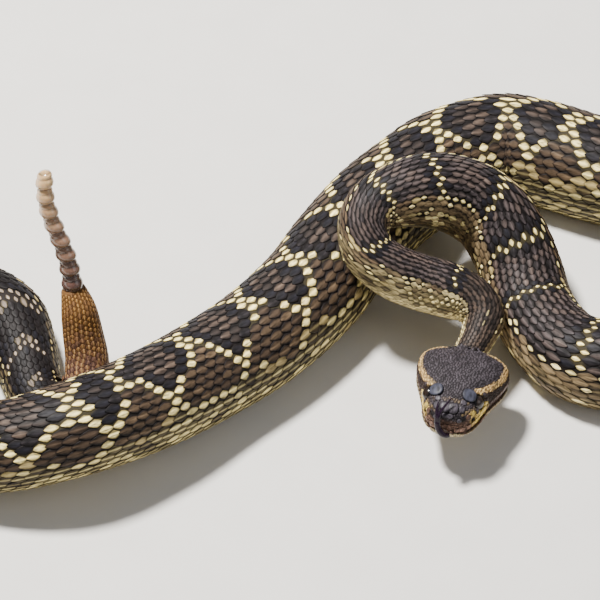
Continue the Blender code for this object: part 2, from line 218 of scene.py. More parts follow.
def blend(first, second, share):
    """Row by row mix of two colours, or of two lists of colours."""
    share = np.clip(np.asarray(share, float), 0, 1)[:, None]
    return first * (1 - share) + second * share


def ramp(value, start, end):
    """0 before start, 1 after end, smooth between."""
    t = np.clip((np.asarray(value, float) - start) / (end - start), 0, 1)
    return t * t * (3 - 2 * t)


def fall(value, start, end):
    """1 before start, 0 after end, smooth between."""
    return ramp(-value, -end, -start)


def linear(value, gain, start):
    return gain * value + start


def along_table(value, table):
    """Values between the rows of a table of places and values."""
    return np.interp(value, *np.array(table, float).T)


def full_turn(sides):
    return np.linspace(0.0, 2 * math.pi, sides, endpoint=False)


def unit(vectors):
    return vectors / np.maximum(np.linalg.norm(vectors, axis=-1, keepdims=True), 1e-12)


def run_length(points):
    """Distance along a line of points, from its first point to each."""
    return np.concatenate([[0.0], np.cumsum(np.linalg.norm(np.diff(points, axis=0), axis=1))])


def unwrap_along(share):
    """The unwrap's first coordinate for a share of a piece's length."""
    return UNWRAP_EDGE + (1 - 2 * UNWRAP_EDGE) * share


def smooth_route(points, before, after, steps):
    """A centripetal spline through the points. Only the first three columns set its pace."""
    framed = np.vstack([before, points, after])
    fine = []
    for p0, p1, p2, p3 in zip(framed, framed[1:], framed[2:], framed[3:]):
        knots = [0.0]
        for a, b in ((p0, p1), (p1, p2), (p2, p3)):
            knots.append(knots[-1] + math.sqrt(np.linalg.norm(b[:3] - a[:3])))
        t0, t1, t2, t3 = knots
        for step in range(steps):
            t = t1 + (t2 - t1) * step / steps
            a1 = (t1 - t) / (t1 - t0) * p0 + (t - t0) / (t1 - t0) * p1
            a2 = (t2 - t) / (t2 - t1) * p1 + (t - t1) / (t2 - t1) * p2
            a3 = (t3 - t) / (t3 - t2) * p2 + (t - t2) / (t3 - t2) * p3
            b1 = (t2 - t) / (t2 - t0) * a1 + (t - t0) / (t2 - t0) * a2
            b2 = (t3 - t) / (t3 - t1) * a2 + (t - t1) / (t3 - t1) * a3
            fine.append((t2 - t) / (t2 - t1) * b1 + (t - t1) / (t2 - t1) * b2)
    fine.append(points[-1])
    return np.array(fine)


def mirrored_route(points, steps):
    """The same spline, carried on past both ends in their own directions."""
    return smooth_route(points, 2 * points[0] - points[1], 2 * points[-1] - points[-2], steps)


def head_axes():
    """The head's right, forward and up directions in the world."""
    pitch = math.radians(HEAD_NOSE_DOWN)
    flat = unit(np.array([*HEAD_FORWARD, 0.0]))
    forward = flat * math.cos(pitch) - np.array([0.0, 0.0, math.sin(pitch)])
    right = unit(np.cross(forward, (0.0, 0.0, 1.0)))
    return right, forward, np.cross(right, forward)


HEAD_AXES = np.array(head_axes())
NAPE = (np.array(LENGTHS["neck"][0][:3]) + PLACE) * MM


def from_head(points):
    """Points of the head's frame, in millimetres, in the world."""
    return NAPE + (np.asarray(points, float) * MM) @ HEAD_AXES


class Body:
    """The body's surface: a point for any distance after the nape and angle from the back ridge."""

    def __init__(self):
        rows = np.array([row for length in LENGTHS.values() for row in length], float) * MM
        rows[:, :3] += PLACE * MM
        before = rows[0].copy()
        before[:3] += HEAD_AXES[1] * np.linalg.norm(rows[1, :3] - rows[0, :3])
        self.fine = smooth_route(rows, before, 2 * rows[-1] - rows[-2], ROUTE_STEPS)
        self.along = run_length(self.fine[:, :3])
        self.length = self.along[-1]
        self.fine_s = np.linspace(0.0, self.length, ROUTE_SAMPLES)
        self.pitch = PITCH_PER_WIDTH * self.width(self.fine_s) + PITCH_BASE * MM
        self.count = np.concatenate([[0.0], np.cumsum(np.diff(self.fine_s) / self.pitch[1:])])

    def columns(self, distance):
        return np.stack([np.interp(distance, self.along, c) for c in self.fine.T], axis=-1)

    def width(self, distance):
        return np.interp(distance, self.along, self.fine[:, 3])

    def scale_count(self, distance):
        """Scales of one row from the nape to a distance, going on evenly past both ends."""
        within = np.interp(distance, self.fine_s, self.count)
        before = np.minimum(distance, 0.0) / self.pitch[0]
        after = np.maximum(distance - self.length, 0.0) / self.pitch[-1]
        return within + before + after

    def scale_pitch(self, distance):
        return np.interp(distance, self.fine_s, self.pitch)

    def coat_depth(self, distance):
        """How far the skin lies inside the solids."""
        return BODY_COAT_DEPTH * np.clip(self.width(distance) / FULL_COAT_WIDTH, LEAST_COAT_SHARE, 1.0)

    def axes(self, distance):
        reach = 1.5 * MM
        ahead = self.columns(np.minimum(distance + reach, self.length))[..., :3]
        behind = self.columns(np.maximum(distance - reach, 0.0))[..., :3]
        tangent = unit(ahead - behind)
        tangent[distance <= 0.0] = -HEAD_AXES[1]
        up = unit(np.array([0.0, 0.0, 1.0]) - tangent * tangent[..., 2:3])
        return tangent, np.cross(tangent, up), up

    def surface(self, distance, angle):
        """Points on the solids' surface, for arrays of distance and angle."""
        distance = np.clip(np.asarray(distance, float), 0.0, self.length)
        here = self.columns(distance)
        _, side, up = self.axes(distance)
        across = np.sin(angle)
        height = np.cos(angle)
        below = np.maximum(FLANK_DEPTH * height, -BELLY_DEPTH)
        height = np.where(height > 0, BACK_HEIGHT * height, below)
        half = here[..., 3:4] / 2
        points = here[..., :3] + half * (across[..., None] * side + height[..., None] * up)
        points[..., 2] = np.where(points[..., 2] < FLOOR_REACH, 0.0, points[..., 2])
        return points

    def lay(self, distance, angle):
        """Points, the directions along, across and out of the surface, and the stretch along it."""
        small_s, small_a = 0.6 * MM, math.radians(2.5)
        along = self.surface(distance + small_s, angle) - self.surface(distance - small_s, angle)
        across = self.surface(distance, angle + small_a) - self.surface(distance, angle - small_a)
        stretch = np.linalg.norm(along, axis=-1) / (2 * small_s)
        out = unit(np.cross(across, along))
        along = unit(along)
        across = np.cross(out, along)
        return self.surface(distance, angle), along, across, out, stretch


# The markings, one colour each for a scale's plate, its rim and its keel.

def band_place(body, distance_mm):
    """Scales from the nearest pale crossing, signed, and half the scales to the next one."""
    bands = np.round(body.scale_count(np.array(PALE_BANDS) * MM))
    here = body.scale_count(np.asarray(distance_mm) * MM)
    gaps = (bands[1:] + bands[:-1]) / 2
    nearest = np.searchsorted(gaps, here)
    offset = here - bands[nearest]
    other = np.clip(nearest + np.where(offset > 0, 1, -1), 0, len(bands) - 1)
    half = np.maximum(np.abs(bands[other] - bands[nearest]) / 2, 1.0)
    return offset, half


# Waves of the mottling: turns along and across the body, and where each starts.
FLECK_WAVES = [(0.61, 1.9, 0.0), (0.23, -0.83, 1.7), (0.097, 0.41, 0.6)]
FLECK_SPREAD = 5
# Flecks of a second, finer field, against the first.
FINER_ALONG = 1.7
FINER_ACROSS = 2.3


def flecks(distance_mm, row):
    """A slow, uneven field from 0 to 1 over the body, for its mottling."""
    waves = sum(np.sin(distance_mm * u + row * v + phase) for u, v, phase in FLECK_WAVES)
    return np.clip(0.5 + waves / FLECK_SPREAD, 0, 1)


def rear_share(distance_mm):
    """0 on the fore and middle body, 1 on the rear."""
    return ramp(distance_mm, REAR_START - REAR_FADE, REAR_START + REAR_FADE)


class Coat:
    """The colours of all scales' plates, rims and keels, in this order."""

    def __init__(self, *parts):
        self.parts = parts

    def paint(self, where, *colours):
        """Covers the chosen scales, each part with its own colour."""
        for part, colour in zip(self.parts, colours):
            part[where] = np.broadcast_to(colour, part.shape)[where]

    def wash(self, colours, shares):
        """Lays a colour thinly over each part of all scales, or over the plates alone."""
        for part, colour, share in zip(self.parts, colours, shares):
            part[:] = blend(part, colour, share)


# A chain's bend: the row where it leaves its crossing, and what it stays short of the corner's row.
CHAIN_BEFORE = (0.3, 0.4)
CHAIN_BEHIND = (1.5, 1.6)
CHAIN_HALF = 0.5
CHAIN_ROWS = (0.6, 0.5)  # from this row, and so far past the corner
CROSSING_HALF = 0.6
CROSSING_ROWS = 1.6
STRAIGHT_BAND = (-0.4, 0.65)  # from and to, in scales along the body
FAR_BAND_START = (0.07, -1.15)  # scales a row, and at the back ridge
FAR_BAND_FILL = 0.84  # share of its scales that are pale
MARGIN_STRAIGHT = 1.3
MARGIN_CHAIN = 1.6
LOW_CHAIN_DROP = (1.2, 1.6)  # rows under the corner, and the further drop at a crossing
LOW_CHAIN_FILL = (0.5, 0.72)  # under straight bands, and under the diamonds
SECOND_CHAIN_DROP = 3.2
SECOND_CHAIN_FILL = 0.4
STRAIGHT_LOW_DROP = 0.5
LOW_HALF = (0.52, 0.5)  # half height of the first and of the second lower chain, in rows
BLOTCH_OVERLAP = 0.3


def band_masks(body, s, a, chance):
    """Scales of the spaces, blotches, blotch margins, dull lower chains and pale bands."""
    corner = along_table(s, CORNER_ROWS)
    offset, half = band_place(body, s)
    n = np.abs(offset)
    far = s > FAR_START
    straight = (s < FORE_END) | far
    edge_row = np.where(straight, STRAIGHT_EDGE_ROW, corner)

    # A chain of pale scales, one to a row, runs from each crossing down to the corners.
    before, behind = ((a - row) / (corner - short) for row, short in (CHAIN_BEFORE, CHAIN_BEHIND))
    arm = np.where(straight, 0.0, half * np.clip(np.where(offset < 0, before, behind), 0, 1))
    arm = np.where(far, -FAR_LEAN * a, arm)
    chain = ~straight & (a > CHAIN_ROWS[0]) & (a < corner + CHAIN_ROWS[1])
    chain &= (n - arm > -CHAIN_HALF) & (n - arm <= CHAIN_HALF)

    # The crossing itself: a band right across the back, or a few scales where the chains meet.
    across = offset + arm * far
    start = np.where(far, FAR_BAND_START[0] * a + FAR_BAND_START[1], STRAIGHT_BAND[0])
    band = (across > start) & (across <= STRAIGHT_BAND[1])
    crossing = np.where(straight, band, (a <= CROSSING_ROWS) & (n < CROSSING_HALF))
    crossing &= (a < edge_row) & (~far | (chance < FAR_BAND_FILL))

    low = corner + LOW_CHAIN_DROP[0] + LOW_CHAIN_DROP[1] * (1 - n / half)
    low = np.where(straight, edge_row + STRAIGHT_LOW_DROP, low)
    lower = (np.abs(a - low) < LOW_HALF[0]) & (chance < np.where(straight, *LOW_CHAIN_FILL))
    lower |= (np.abs(a - low - SECOND_CHAIN_DROP) < LOW_HALF[1]) & (chance < SECOND_CHAIN_FILL)
    blotch = (a < edge_row + BLOTCH_OVERLAP) & (straight | (n > arm))
    margin = blotch & (n < np.where(straight, MARGIN_STRAIGHT, arm + MARGIN_CHAIN))
    return ~blotch & (a < low), blotch, margin, lower, crossing | chain


# How strongly a field or chance tints a ground colour: gain, and share at zero.
FLANK_FLECKS = (0.7, -0.1)
SPACE_FLECKS = (1.3, -0.5)
BLOTCH_FLECKS = (1.2, -0.35)
MARGIN_FLECKS = (0.9, -0.5)
LOWER_GREYS = (0.6, 0.10)
NECK_FLECKS = (0.8, -0.2)
SIDE_KEELS = (0.7, 0.1)
LIT_KEELS = (1.1, 0.2)
BODY_TONES = (0.28, 0.86)  # from scale to scale

FLANK_ROWS = (6.0, 9.0)  # the pale keels come in between these rows
FORE_FLANK_SHARE = 0.75
PALE_FLANK_CHANCE = (-0.06, 0.92)  # a flank scale is pale above it: change to the side, and on the back
PALE_FLANK_SHARE = 0.5
PALE_RIM_SHARE = 0.14
FORE_KEEL_LOSS = 0.6


def flank_coat(a, fore, fleck, lit, chance):
    """The ground colour under the markings: dark on the back, with pale keels on the flanks."""
    side = ramp(a, *FLANK_ROWS)
    plate = blend(FLANK, BETWEEN_FLECK * 0.8, linear(fleck, *FLANK_FLECKS))
    plate = blend(plate, FORE_FLANK, FORE_FLANK_SHARE * fore)
    pale = chance > linear(side, *PALE_FLANK_CHANCE)
    plate = blend(plate, FLANK_EDGE, np.where(pale, PALE_FLANK_SHARE, 0.0))
    rim = blend(INTERSTICE, FLANK_EDGE, PALE_RIM_SHARE * side * lit)
    keel_share = linear(side, *SIDE_KEELS) * linear(lit, *LIT_KEELS) * (1 - FORE_KEEL_LOSS * fore)
    return Coat(plate, rim, blend(plate, FLANK_EDGE, keel_share))


OCHRE_CHANCE = 0.84  # a pale scale is half ochre above it
OCHRE_SHARES = (0.5, 0.3)  # there, and against the flecks elsewhere
DIM_CHANCE = 0.3  # a pale scale of the rear is dimmed below it
DIM_LOSS = 0.5


def pale_tint(rear, fleck, chance):
    """The pale scales of the bands: cream on the body, chalky and uneven on the rear."""
    ochre = np.where(chance > OCHRE_CHANCE, OCHRE_SHARES[0], OCHRE_SHARES[1] * fleck)
    pale = blend(CREAM, OCHRE, ochre)
    return blend(pale, CHALK, rear) * (1 - DIM_LOSS * rear * (chance < DIM_CHANCE))[:, None]


# Rims and keels against the plate's own colour. The darker rims are partly the scales' own dark edges and
# partly painted shade at their sides; the paler keels are partly painted highlight along the raised
# ridge.
SPACE_KEEL = 1.45
BLOTCH_KEEL = 1.6
BLOTCH_RIM = INTERSTICE * 0.8
LOWER_RIM = 0.22
LOWER_KEEL = 1.1
PALE_KEEL = 1.05
PALE_RIM = (-0.3, 0.4)  # of ochre: change to the rear, and on the body
NECK_RIM = 0.25
NECK_KEEL = 1.4
BLUE_BLACK_SHARE = 0.8
FORE_BLUE = 0.6  # against the rear's
REAR_DARKER = 0.68
# Painted light: the blotches of the fore coil are made paler, as if its raised top were lit.
FORE_PAINTED_LIGHT = 0.7
CREAM_CHANCE = 0.36  # a lower pale scale is mostly cream below it
CREAM_SHARE = 0.7
MISSING_CHANCE = 0.985  # a pale scale is left out above it


def paint_bands(coat, masks, rear, fore, fleck, chance):
    """Spaces, blotches with black margins, and the pale scales that outline them."""
    between, blotch, margin, lower, pale_ones = masks
    space = blend(BETWEEN, BETWEEN_FLECK, linear(fleck, *SPACE_FLECKS))
    coat.paint(between, space, INTERSTICE, space * SPACE_KEEL)
    core = blend(BLOTCH, BLOTCH_FLECK, linear(fleck, *BLOTCH_FLECKS))
    core = blend(core, BLUE_BLACK, BLUE_BLACK_SHARE * np.maximum(rear, FORE_BLUE * fore))
    # The rear is darker in its own colour; the fore coil's blotches take painted light.
    core *= (1 - REAR_DARKER * rear + FORE_PAINTED_LIGHT * fore)[:, None]
    coat.paint(blotch, core, BLOTCH_RIM, core * BLOTCH_KEEL)
    edge = blend(BLACK_EDGE, BLOTCH, linear(chance, *MARGIN_FLECKS))
    coat.paint(margin, edge, BLOTCH_RIM, edge * BLOTCH_KEEL)
    dull = blend(OCHRE, BELLY_GREY, linear(chance, *LOWER_GREYS))
    dull = blend(dull, CREAM, np.where(chance < CREAM_CHANCE, CREAM_SHARE, 0.0))
    coat.paint(lower, dull, dull * LOWER_RIM, dull * LOWER_KEEL)
    pale = pale_tint(rear, fleck, chance)
    rim = OCHRE * linear(rear, *PALE_RIM)[:, None]
    coat.paint(pale_ones & (chance < MISSING_CHANCE), pale, rim, pale * PALE_KEEL)


# How strongly the throat's colours cover the plates, rims and keels.
THROAT_SHARES = (0.95, 0.6, 0.95)
TAN_LESS = 0.2
# Where the throat's colours fade: distances after the nape, and rows.
THROAT_FADE = (26, 90)
THROAT_ROWS = (4.9, 7.0)
THROAT_CHANCE = 0.72
THROAT_LEAST = 0.15  # between the spots that chance makes full
LOW_THROAT_FADE = (50, 110)
LOW_THROAT_ROWS = (10.5, 12.0)
LOW_THROAT_SHARE = 0.8
INNER_THROAT_ROWS = (8.0, 10.5)
COIL_ROWS = (4.8, 6.2)
COIL_SPOT_CHANCE = 0.8
COIL_SPOT_SHARE = 0.3


def wash_throat(coat, s, a, row, fore, lit, chance):
    """Cream and tan on the outer side of the throat, and paler flanks on the coil's inner side."""
    outer = np.where(row < 0, 1.0, ramp(a, *INNER_THROAT_ROWS))
    full = chance * 0.7 + lit > THROAT_CHANCE
    throat = fall(s, *THROAT_FADE) * ramp(a, *THROAT_ROWS) * (THROAT_LEAST + (1 - THROAT_LEAST) * full)
    low = LOW_THROAT_SHARE * fall(s, *LOW_THROAT_FADE) * ramp(a, *LOW_THROAT_ROWS)
    throat = outer * np.maximum(throat, low)
    inner = fore * (row > 0) * ramp(a, *COIL_ROWS)
    inner = inner * (0.2 + 0.5 * lit + 0.4 * chance) * (1 - 0.6 * (chance < 0.25))
    spots = (inner > COIL_SPOT_SHARE) * (chance > COIL_SPOT_CHANCE)
    coat.wash([THROAT_TAN] * 3, [(share - TAN_LESS) * inner for share in THROAT_SHARES])
    coat.wash([THROAT] * 3, [share * spots for share in THROAT_SHARES])
    coat.wash([THROAT] * 3, [share * throat for share in THROAT_SHARES])


NECK_END = 34
NECK_ROWS = 4.7
PALE_NECK = (6, 22)
PALE_NECK_HALF = 0.5


def paint_neck(coat, s, a, fleck, chance):
    """The dark neck, with one row of paler scales along its ridge."""
    neck = (s < NECK_END) & (a < NECK_ROWS)
    ridge = neck & (a < PALE_NECK_HALF) & (s > PALE_NECK[0]) & (s < PALE_NECK[1])
    dark = blend(BLOTCH * 0.9, BLOTCH_FLECK, linear(fleck, *NECK_FLECKS))
    coat.paint(neck & ~ridge, dark, dark * NECK_RIM, dark * NECK_KEEL)
    pale = pale_tint(rear_share(s), fleck, chance)
    coat.paint(ridge, dark * BLOTCH_KEEL, dark * NECK_RIM, pale * 0.5)


TAIL_FADE = (-8, 16)  # before and after the tail's start
TAIL_WARM = (14, 52)
TAIL_WARMTH = (0.75, 0.15)  # share of orange: gain to the rear, and at the root
TAIL_UNEVEN = 0.7
TAIL_SIDE_ROWS = (6.5, 9.5)  # its sides are all orange from here
TAIL_DOT_CHANCE = 0.35
TAIL_DOTS = (0.65, 0.25)
TAIL_RIMS = (0.3, 0.5)


def wash_tail(coat, s, a, chance):
    """Purple brown at the tail's root and orange brown behind it, with a pale dot on each keel."""
    tail = ramp(s, TAIL_START + TAIL_FADE[0], TAIL_START + TAIL_FADE[1])
    warm = linear(ramp(s, TAIL_START + TAIL_WARM[0], TAIL_START + TAIL_WARM[1]), *TAIL_WARMTH)
    field = blend(TAIL_PURPLE, TAIL_ORANGE, warm + TAIL_UNEVEN * (chance - 0.5))
    field = blend(field, TAIL_ORANGE, ramp(a, *TAIL_SIDE_ROWS))
    dot = blend(field * 1.15, TAIL_DOT, linear(chance > TAIL_DOT_CHANCE, *TAIL_DOTS))
    coat.wash([field, field * linear(chance[:, None], *TAIL_RIMS), dot], [tail] * 3)


FLECK_SHARE = 0.55  # of the slow field in the mottling, the rest is chance
LOW_BELLY_ROWS = (11.0, 13.0)
LOW_BELLY_SHARE = 0.3


def body_colours(body, distance_mm, row, chance):
    """Plate, rim and keel colours. Row runs from 0 on the back ridge to 13 beside the belly."""
    s = np.asarray(distance_mm, float)
    a = np.abs(row - along_table(s, BACK_ROLL))
    fleck = FLECK_SHARE * flecks(s, row) + (1 - FLECK_SHARE) * chance
    lit = flecks(s * FINER_ALONG, row * FINER_ACROSS)
    fore = fall(s, *FORE_FADE)
    coat = flank_coat(a, fore, fleck, lit, chance)
    paint_bands(coat, band_masks(body, s, a, chance), rear_share(s), fore, fleck, chance)
    coat.wash([BELLY], [LOW_BELLY_SHARE * ramp(a, *LOW_BELLY_ROWS)])
    wash_throat(coat, s, a, row, fore, lit, chance)
    paint_neck(coat, s, a, fleck, chance)
    wash_tail(coat, s, a, chance)
    tone = linear(chance[:, None], *BODY_TONES)
    return [np.clip(part * tone, 0, 1) for part in coat.parts]


YELLOW_REACH = (25.4, 34.6)  # the yellow patch over the lips, in millimetres from the nape
# The head's pale stripe: distance from the nape, and its height and half thickness there.
STRIPE_LINE = [(0, 5.5), (2, 4.6), (6, 3.4), (10.5, 3.9), (16, 4.8), (22, 6.6), (27, 8.5)]
STRIPE_THICKNESS = [(0, 1.9), (6, 1.5), (14, 1.35), (27, 1.15)]
YELLOW_LINE = [(26, -0.6), (36, 1.4)]
CROWN_BAR_PLACE = 34.2
SNOUT_RIDGE_HEIGHT = 6.2
# Where each marking fades, in millimetres: from its own line, to the side, forward, upward or downward.
STRIPE_EDGE = (0.75, 1.35)  # against its thickness
STRIPE_SIDE = (7.6, 9.4)
STRIPE_FRONT = (27.2, 28.4)
CHEEK_EDGE = (0.7, 1.7)
CHEEK_SIDE = (7.0, 9.5)
CHEEK_FRONT = (31, 34.5)
CROWN_BAR_EDGE = (0.5, 1.0)
CROWN_BAR_UP = (7.4, 8.2)
CROWN_BAR_SHARE = 0.14
SNOUT_RIDGE_EDGE = (0.3, 0.9)
SNOUT_RIDGE_REAR = (32.5, 34.0)
SNOUT_RIDGE_SIDE = (5.0, 6.0)
SNOUT_RIDGE_SHARE = 0.2
SNOUT_LIP_UP = (2.4, 4.6)
SNOUT_LIP_REAR = (32, 35)
JAW_LIP_DOWN = (1.6, 3.0)
JAW_LIP_REAR = (8, 14)
YELLOW_EDGE = (3.4, 4.6)
YELLOW_REAR = (24.6, 26.6)
YELLOW_FRONT = (36.6, 38.2)
YELLOW_SIDE = (6.5, 8)
CHIN_DOWN = (5.0, 7.0)
# Gain, and value at zero, as on the body.
CROWN_FLECKS = (1.6, -0.4)
CROWN_TONES = (0.62, 0.72)
HEAD_TONES = (0.3, 0.85)
# Rims and keels as on the body: the darker rims are partly painted shade at each scale's edge, the paler
# keels partly painted highlight.
HEAD_RIM = 0.55
HEAD_KEEL = 1.3


def head_colours(places, chance):
    """Plate, rim and keel colours at points of the head, given in its own frame."""
    x, y, z = np.abs(places[:, 0]), places[:, 1], places[:, 2]
    base = blend(CROWN, CROWN_FLECK, linear(chance, *CROWN_FLECKS))
    base = base * linear(flecks(3.1 * y + 1.3 * z, 1.1 * places[:, 0]), *CROWN_TONES)[:, None]

    # The pale stripe behind the eye, and the dark cheek under it.
    height = along_table(y, STRIPE_LINE)
    thick = along_table(y, STRIPE_THICKNESS)
    stripe = fall(np.abs(z - height), STRIPE_EDGE[0] * thick, STRIPE_EDGE[1] * thick)
    stripe = stripe * ramp(x, *STRIPE_SIDE) * fall(y, *STRIPE_FRONT)
    cheek = ramp(height - z, *CHEEK_EDGE) * ramp(x, *CHEEK_SIDE) * fall(y, *CHEEK_FRONT)
    colour = blend(base, CHEEK, cheek)
    pale_stripe = blend(STRIPE, OCHRE, np.clip(chance - 0.45, 0, 1))
    colour = blend(colour, pale_stripe, stripe * np.where(chance > 0.88, 0.4, 1.0))

    # A faint bar across the snout, and faint ridges beside it.
    bar = fall(np.abs(y - CROWN_BAR_PLACE), *CROWN_BAR_EDGE) * ramp(z, *CROWN_BAR_UP) * CROWN_BAR_SHARE
    ridge = fall(np.abs(z - SNOUT_RIDGE_HEIGHT), *SNOUT_RIDGE_EDGE) * ramp(y, *SNOUT_RIDGE_REAR)
    ridge = ridge * ramp(x, *SNOUT_RIDGE_SIDE) * SNOUT_RIDGE_SHARE
    colour = blend(colour, pale_stripe * 0.8, np.maximum(bar, ridge) * (0.4 + chance))

    # Lips and chin, with the yellow patch under the eye.
    lip = fall(z, *SNOUT_LIP_UP) * ramp(y, *SNOUT_LIP_REAR)
    lip = np.maximum(lip, ramp(-z, *JAW_LIP_DOWN) * ramp(y, *JAW_LIP_REAR))
    colour = blend(colour, blend(LIP, CHEEK, 0.55 * chance), lip)
    yellow = fall(np.abs(z - along_table(y, YELLOW_LINE)), *YELLOW_EDGE)
    yellow = yellow * ramp(y, *YELLOW_REAR) * fall(y, *YELLOW_FRONT) * ramp(x, *YELLOW_SIDE)
    yellow_tint = blend(YELLOW, STRIPE, 0.6 * chance)
    colour = blend(colour, yellow_tint, yellow * (0.55 + 0.45 * (chance > 0.25)))
    colour = blend(colour, blend(CHIN, BELLY_GREY, 0.7 * chance), ramp(-z, *CHIN_DOWN))
    colour = np.clip(colour * linear(chance[:, None], *HEAD_TONES), 0, 1)
    return colour, colour * HEAD_RIM, np.clip(colour * HEAD_KEEL, 0, 1)


# Meshes and pieces.

def new_mesh(name, points, faces=()):
    mesh = bpy.data.meshes.new(name)
    mesh.from_pydata(points, [], faces)
    return mesh


def new_object(name, data):
    """An object in the scene."""
    obj = bpy.data.objects.new(name, data)
    bpy.context.scene.collection.objects.link(obj)
    return obj


def evaluated_mesh(obj):
    """The object's mesh with its modifiers applied."""
    bpy.context.view_layer.update()
    graph = bpy.context.evaluated_depsgraph_get()
    return bpy.data.meshes.new_from_object(obj.evaluated_get(graph), depsgraph=graph)


def outward(mesh):
    """Turns a closed mesh's faces outwards."""
    work = bmesh.new()
    work.from_mesh(mesh)
    bmesh.ops.recalc_face_normals(work, faces=work.faces[:])
    work.to_mesh(mesh)
    work.free()


def write_colours(mesh, name, colours):
    layer = mesh.attributes.new(name, "FLOAT_COLOR", "POINT")
    flat = np.concatenate([np.asarray(colours, float), np.ones((len(colours), 1))], axis=1)
    layer.data.foreach_set("color", flat.astype(np.float32).ravel())


def write_vectors(mesh, name, vectors):
    layer = mesh.attributes.new(name, "FLOAT_VECTOR", "POINT")
    layer.data.foreach_set("vector", np.asarray(vectors).astype(np.float32).ravel())


def add_piece(name, mesh, finish, replaced=()):
    """Links a finished mesh, sets its finish, and ties it to the model's body."""
    mesh.name = name
    mesh.materials.clear()
    mesh.materials.append(finish)
    mesh.shade_smooth()
    obj = new_object(name, mesh)
    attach(obj, "root")
    if replaced:
        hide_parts(*replaced)
    return obj


# The skin: one closed surface from the tip of the snout to the root of the rattle.

def head_sections():
    """Fine rings of the head in its own frame, from the nape forward, with SKIN_SIDES points each."""
    fine = mirrored_route(np.array(HEAD_STATIONS), HEAD_STEPS)
    last = fine[-1]
    tip_rise = SNOUT_TIP[2] - last[4]
    for share in SNOUT_SHARES:
        bulge = (SNOUT_TIP[1] - last[0]) * (1 - share**2)
        level = last[4] + tip_rise * (1 - share)
        crown = level + (last[2] - level) * share
        chin = (last[3] + level) * share - level
        fine = np.vstack([fine, (last[0] + bulge, last[1] * share, crown, chin, level)])
    angle = full_turn(SKIN_SIDES)
    across, rise = np.sin(angle), np.cos(angle)
    place, half, crown, chin, mouth = (column[:, None] for column in fine.T)
    x = half * np.sign(across) * np.abs(across) ** HEAD_SIDE_POWER
    above = mouth + (crown - mouth) * np.maximum(rise, 0) ** HEAD_CROWN_POWER
    below = mouth - (chin + mouth) * np.maximum(-rise, 0) ** HEAD_CHIN_POWER
    z = np.where(rise >= 0, above, below)
    x = x * (1.0 - JAW_INSET * np.maximum(-rise, 0))
    lip = LIP_DEPTH * np.clip((place - MOUTH_CORNER) / LIP_FADE, 0, 1)
    crease = np.exp(-(((np.abs(angle - math.pi) - math.pi / 2) / LIP_WIDTH) ** 2))
    x = x - np.sign(across) * lip * crease
    start, end = LOBE_ENDS
    fade = np.clip(place / LOBE_NAPE_FADE, 0, 1) * np.clip((end - place) / (end - start), 0, 1)
    y = place - LOBE_SWEEP * fade * (x / LOBE_REACH) ** 2
    return np.stack([x, y, z], axis=-1)


def grid_out(grid):
    """Directions out of a grid of points, whose second axis runs round and closes."""
    around = np.roll(grid, -1, axis=1) - np.roll(grid, 1, axis=1)
    return unit(np.cross(np.gradient(grid, axis=0), around))


def sunk(points, centre, radius, inward):
    """Points inside a ball, moved inward on to its far side, so that they form a cup."""
    offset = points - centre
    inside = np.linalg.norm(offset, axis=-1) < radius
    along = (offset * inward).sum(-1)
    root = np.sqrt(np.maximum(along**2 - (offset**2).sum(-1) + radius**2, 0))
    return np.where(inside[..., None], points + inward * (root - along)[..., None], points)


BELLY_EDGE_ROWS = (13.3, 13.8)  # the skin takes the belly's colour between these rows
DORSAL_DARK = 0.96
BODY_SKIN_CHANCE = 0.5
BODY_SKIN_TONE = 0.7
HEAD_SKIN_CHANCE = 0.4
HEAD_SKIN_TONE = 0.4
PALE_THROAT_SKIN = (34, 110)
PALE_THROAT_ROWS = (5, 8)
PALE_THROAT_LOSS = 0.5
PALE_TAIL_REACH = 20
PALE_TAIL_LOSS = 0.6
# Painted shade: the skin in each hollow and in a margin round it is near black.
SOCKET_MARGIN = 0.25  # dark skin round each socket, in millimetres
# Hollows in the skin of the head: their centres and radii.
SOCKETS = (
    (EYE_CENTRE, EYE_RADIUS + 0.12),
    (NOSTRIL_CENTRE, NOSTRIL_RADIUS),
    (PIT_CENTRE, PIT_RADIUS),
)


def body_skin(body):
    """Rings of points from the root of the rattle to the nape, and each point's colour."""
    count = int(body.length / SKIN_PITCH)
    distance = np.linspace(body.length, 0.0, count + 1)
    s, a = np.meshgrid(distance, full_turn(SKIN_SIDES), indexing="ij")
    points, _, _, out, _ = body.lay(s, a)
    rings = points - out * body.coat_depth(s)[..., None]
    row = (OUTER_ROW * np.where(a > math.pi, a - 2 * math.pi, a) / ROW_REACH).ravel()
    place = s.ravel() / MM
    plate = body_colours(body, place, row, np.full(s.size, BODY_SKIN_CHANCE))[0]
    ventral = ramp(np.abs(row), *BELLY_EDGE_ROWS)
    plate = blend(plate, BELLY, ventral)

    # Between the scales the skin is dark, less so on the throat and the tail.
    throat = PALE_THROAT_LOSS * fall(place, *PALE_THROAT_SKIN) * ramp(-row, *PALE_THROAT_ROWS)
    dorsal = (1 - ventral) * (1 - throat)
    dorsal *= 1 - PALE_TAIL_LOSS * ramp(place, TAIL_START, TAIL_START + PALE_TAIL_REACH)
    tint = blend(plate, INTERSTICE, DORSAL_DARK * dorsal) * BODY_SKIN_TONE
    return rings, tint.reshape(*s.shape, 3)


def head_skin():
    """Rings of points from the nape to the snout in the head's frame, and each point's colour."""
    head = head_sections()
    places = head.reshape(-1, 3)
    tint = head_colours(places, np.full(len(places), HEAD_SKIN_CHANCE))[0]
    tint = tint.reshape(head.shape) * HEAD_SKIN_TONE
    head = head + grid_out(head) * (HEAD_COAT_DEPTH / MM)
    for side in (1, -1):
        inward = np.array((-side, 0.0, 0.0))
        for (x, y, z), radius in SOCKETS:
            middle = np.array((x * side, y, z))
            # painted shade in and round the hollow
            tint[np.linalg.norm(head - middle, axis=-1) < radius + SOCKET_MARGIN] = INTERSTICE
            head = sunk(head, middle, radius, inward)
    return head, tint


